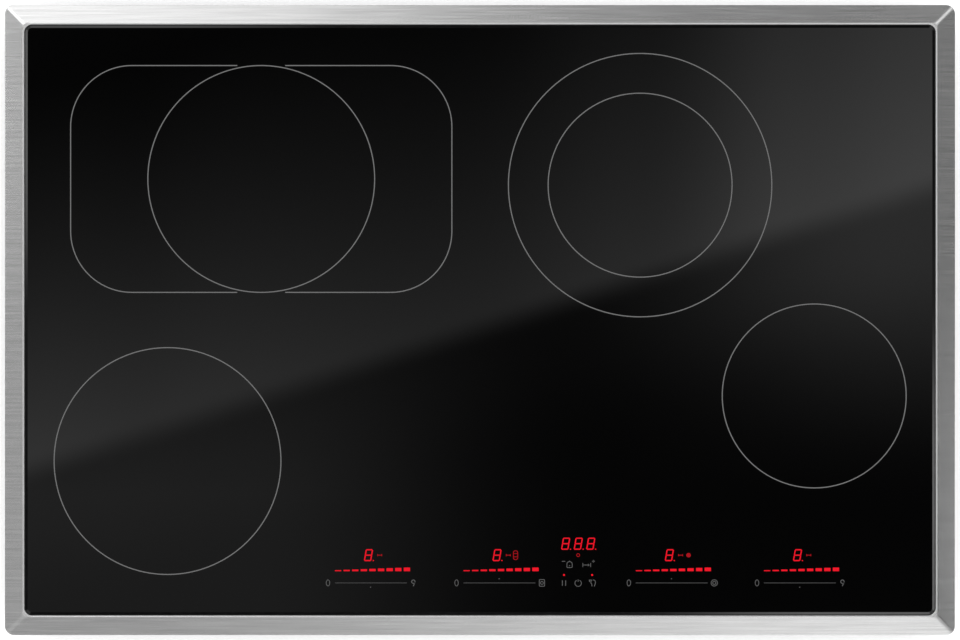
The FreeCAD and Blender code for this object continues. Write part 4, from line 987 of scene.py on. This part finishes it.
def tone_under_edge(n, x, y, above):
    """Tone under the slanting edge: a glow at the left, one at the right, and a faint one beside it."""
    share = n.math("SUBTRACT", LEFT_SHARE, n.math("MULTIPLY", y, LEFT_DROP))
    grown = n.ramp(x, *LEFT_REACH, 0.0, LEFT_TONE, smooth=True)
    left = n.math("MULTIPLY", grown, n.math("MINIMUM", share, 1.0))
    grown = n.ramp(x, *RIGHT_REACH, 0.0, RIGHT_TONE, smooth=True)
    right = n.math("MULTIPLY", grown, n.ramp(y, *RIGHT_RISE, smooth=True))
    near = n.ramp(above, *NEAR_REACH, SKY_LEAST, SKY_LEAST + NEAR_TONE, smooth=True)
    return n.math("ADD", n.math("ADD", left, right), near)


def sky_material(half_x, half_y):
    """Ceiling seen in the glass: a soft slanting edge, brighter on its upper side to the right."""
    n = Nodes("sky_glow")
    parts = n.node("ShaderNodeSeparateXYZ", Vector=n.coords).outputs
    x = n.math("DIVIDE", parts[0], half_x)
    y = n.math("DIVIDE", parts[1], half_y)
    edge = n.math("ADD", n.math("MULTIPLY", x, EDGE_TILT), EDGE_SHIFT)
    above = n.math("SUBTRACT", y, edge)
    side = n.ramp(above, *EDGE_SOFT, smooth=True)
    over = n.math("MULTIPLY", tone_over_edge(n, x, above), side)
    under = n.math("MULTIPLY", tone_under_edge(n, x, y, above), n.math("SUBTRACT", 1.0, side))
    light = tone_to_light(n, n.math("ADD", over, under))
    return n.emitter(n.math("MULTIPLY", light, SKY_GAIN))


def tone_to_light(n, tone):
    """Light that a tone of 0 to 255 stands for, by the sRGB curve."""
    value = n.math("DIVIDE", tone, 255.0)
    curve = n.math("POWER", n.math("DIVIDE", n.math("ADD", value, 0.055), 1.055), 2.4)
    return n.math("MAXIMUM", curve, n.math("DIVIDE", value, 12.92))


def mirrored_rise(slope, out, distance):
    """Rise per metre of a camera ray that a face of this slope mirrors, this far out from the middle."""
    return 1 / math.tan(2 * math.atan(slope) + math.atan(out / distance))


def facet_stops(side, distance):
    """A facet's stops, moved from the glass out to its card."""
    spread = 1 + FACET_RUN / distance
    return [(place * spread, level) for place, level in FACET_GLOW[side]]


def build_cards(distance):
    """Cards that the glass, its facets and the steel bands mirror."""
    spread = 1 + (SKY_HEIGHT - GLASS_Z) / distance
    half_x, half_y = GLASS_X * spread, GLASS_Y * spread
    stage_card("card_sky", (0, 0, SKY_HEIGHT), (1, 0, 0), half_x + SKY_MARGIN,
               half_y + SKY_MARGIN, sky_material(half_x, half_y))
    for side, (x, y) in SIDES.items():
        axis, along, half = (0, (1, 0, 0), GLASS_Y) if y else (1, (0, 1, 0), GLASS_X)
        glow = glow_material(f"band_glow_{side}", axis, BAND_GLOW[side])
        place = (BAND_OUT_X * x, BAND_OUT_Y * y, BAND_UP)
        stage_card(f"card_band_{side}", place, along, BAND_LENGTH, BAND_DEPTH, glow)
        glow = glow_material(f"facet_glow_{side}", axis, facet_stops(side, distance))
        reach = half + FACET_RUN
        height = GLASS_Z + FACET_RUN * mirrored_rise(FACET_SLOPE, half, distance)
        place = (reach * x, reach * y, height)
        stage_card(f"card_facet_{side}", place, along, FACET_LENGTH, FACET_DEPTH, glow)
    for (x, y), level in CORNER_GLOW.items():
        name = f"{'left' if x < 0 else 'right'}_{'back' if y > 0 else 'front'}"
        glow = glow_material(f"corner_glow_{name}", 0, ((-1.0, level), (1.0, level)))
        place = (CORNER_OUT_X * x, CORNER_OUT_Y * y, CORNER_UP)
        stage_card(f"card_corner_{name}", place, (1, 0, 0), CORNER_HALF, CORNER_HALF, glow)


def build_floor():
    """Plain pale floor."""
    n = Nodes("pale_floor")
    tone = n.mix(n.noise(3.0), (0.93, 0.93, 0.93), (0.96, 0.96, 0.96))
    material = n.principled(Base_Color=tone, Roughness=0.9)
    half = FLOOR_HALF
    corners = [(-half, -half, 0), (half, -half, 0), (half, half, 0), (-half, half, 0)]
    mesh = bpy.data.meshes.new("floor")
    mesh.from_pydata(corners, [], [(0, 1, 2, 3)])
    mesh.materials.append(material)
    floor = bpy.data.objects.new("floor", mesh)
    floor.location.z = -FLOOR_DROP
    bpy.context.scene.collection.objects.link(floor)


def build_soft_light():
    """Large soft light from above, which nothing mirrors."""
    data = bpy.data.lights.new("soft_top", "AREA")
    data.shape = "RECTANGLE"
    data.size, data.size_y = LIGHT_SIDE, LIGHT_SIDE
    data.energy = LIGHT_POWER
    light = bpy.data.objects.new("soft_top", data)
    light.location = (0.0, 0.0, LIGHT_HEIGHT)
    light.visible_glossy = False
    bpy.context.scene.collection.objects.link(light)


def build_surround():
    """Plain white surround, which lights the object less than its own brightness."""
    world = bpy.data.worlds.new("surround")
    bpy.context.scene.world = world
    world.use_nodes = True
    tree = world.node_tree
    background = tree.nodes["Background"]
    background.inputs["Color"].default_value = (1.0, 1.0, 1.0, 1.0)
    path = tree.nodes.new("ShaderNodeLightPath")
    level = tree.nodes.new("ShaderNodeMapRange")
    level.inputs["To Min"].default_value = SURROUND_LIGHT
    level.inputs["To Max"].default_value = SURROUND_SEEN
    tree.links.new(path.outputs["Is Camera Ray"], level.inputs["Value"])
    tree.links.new(level.outputs[0], background.inputs["Strength"])


def set_view():
    """Plain display transform."""
    view = bpy.context.scene.view_settings
    view.view_transform = "Standard"
    view.look = "None"


# ---- Build --------------------------------------------------------------------------------------
camera_distance = build_camera()
set_view()
paint_cad_nodes(cad_materials())
build_frame()
build_seal(build_glass())
build_springs()
build_zones()
build_sliders()
build_centre_keys()
build_floor()
build_soft_light()
build_surround()
build_cards(camera_distance)
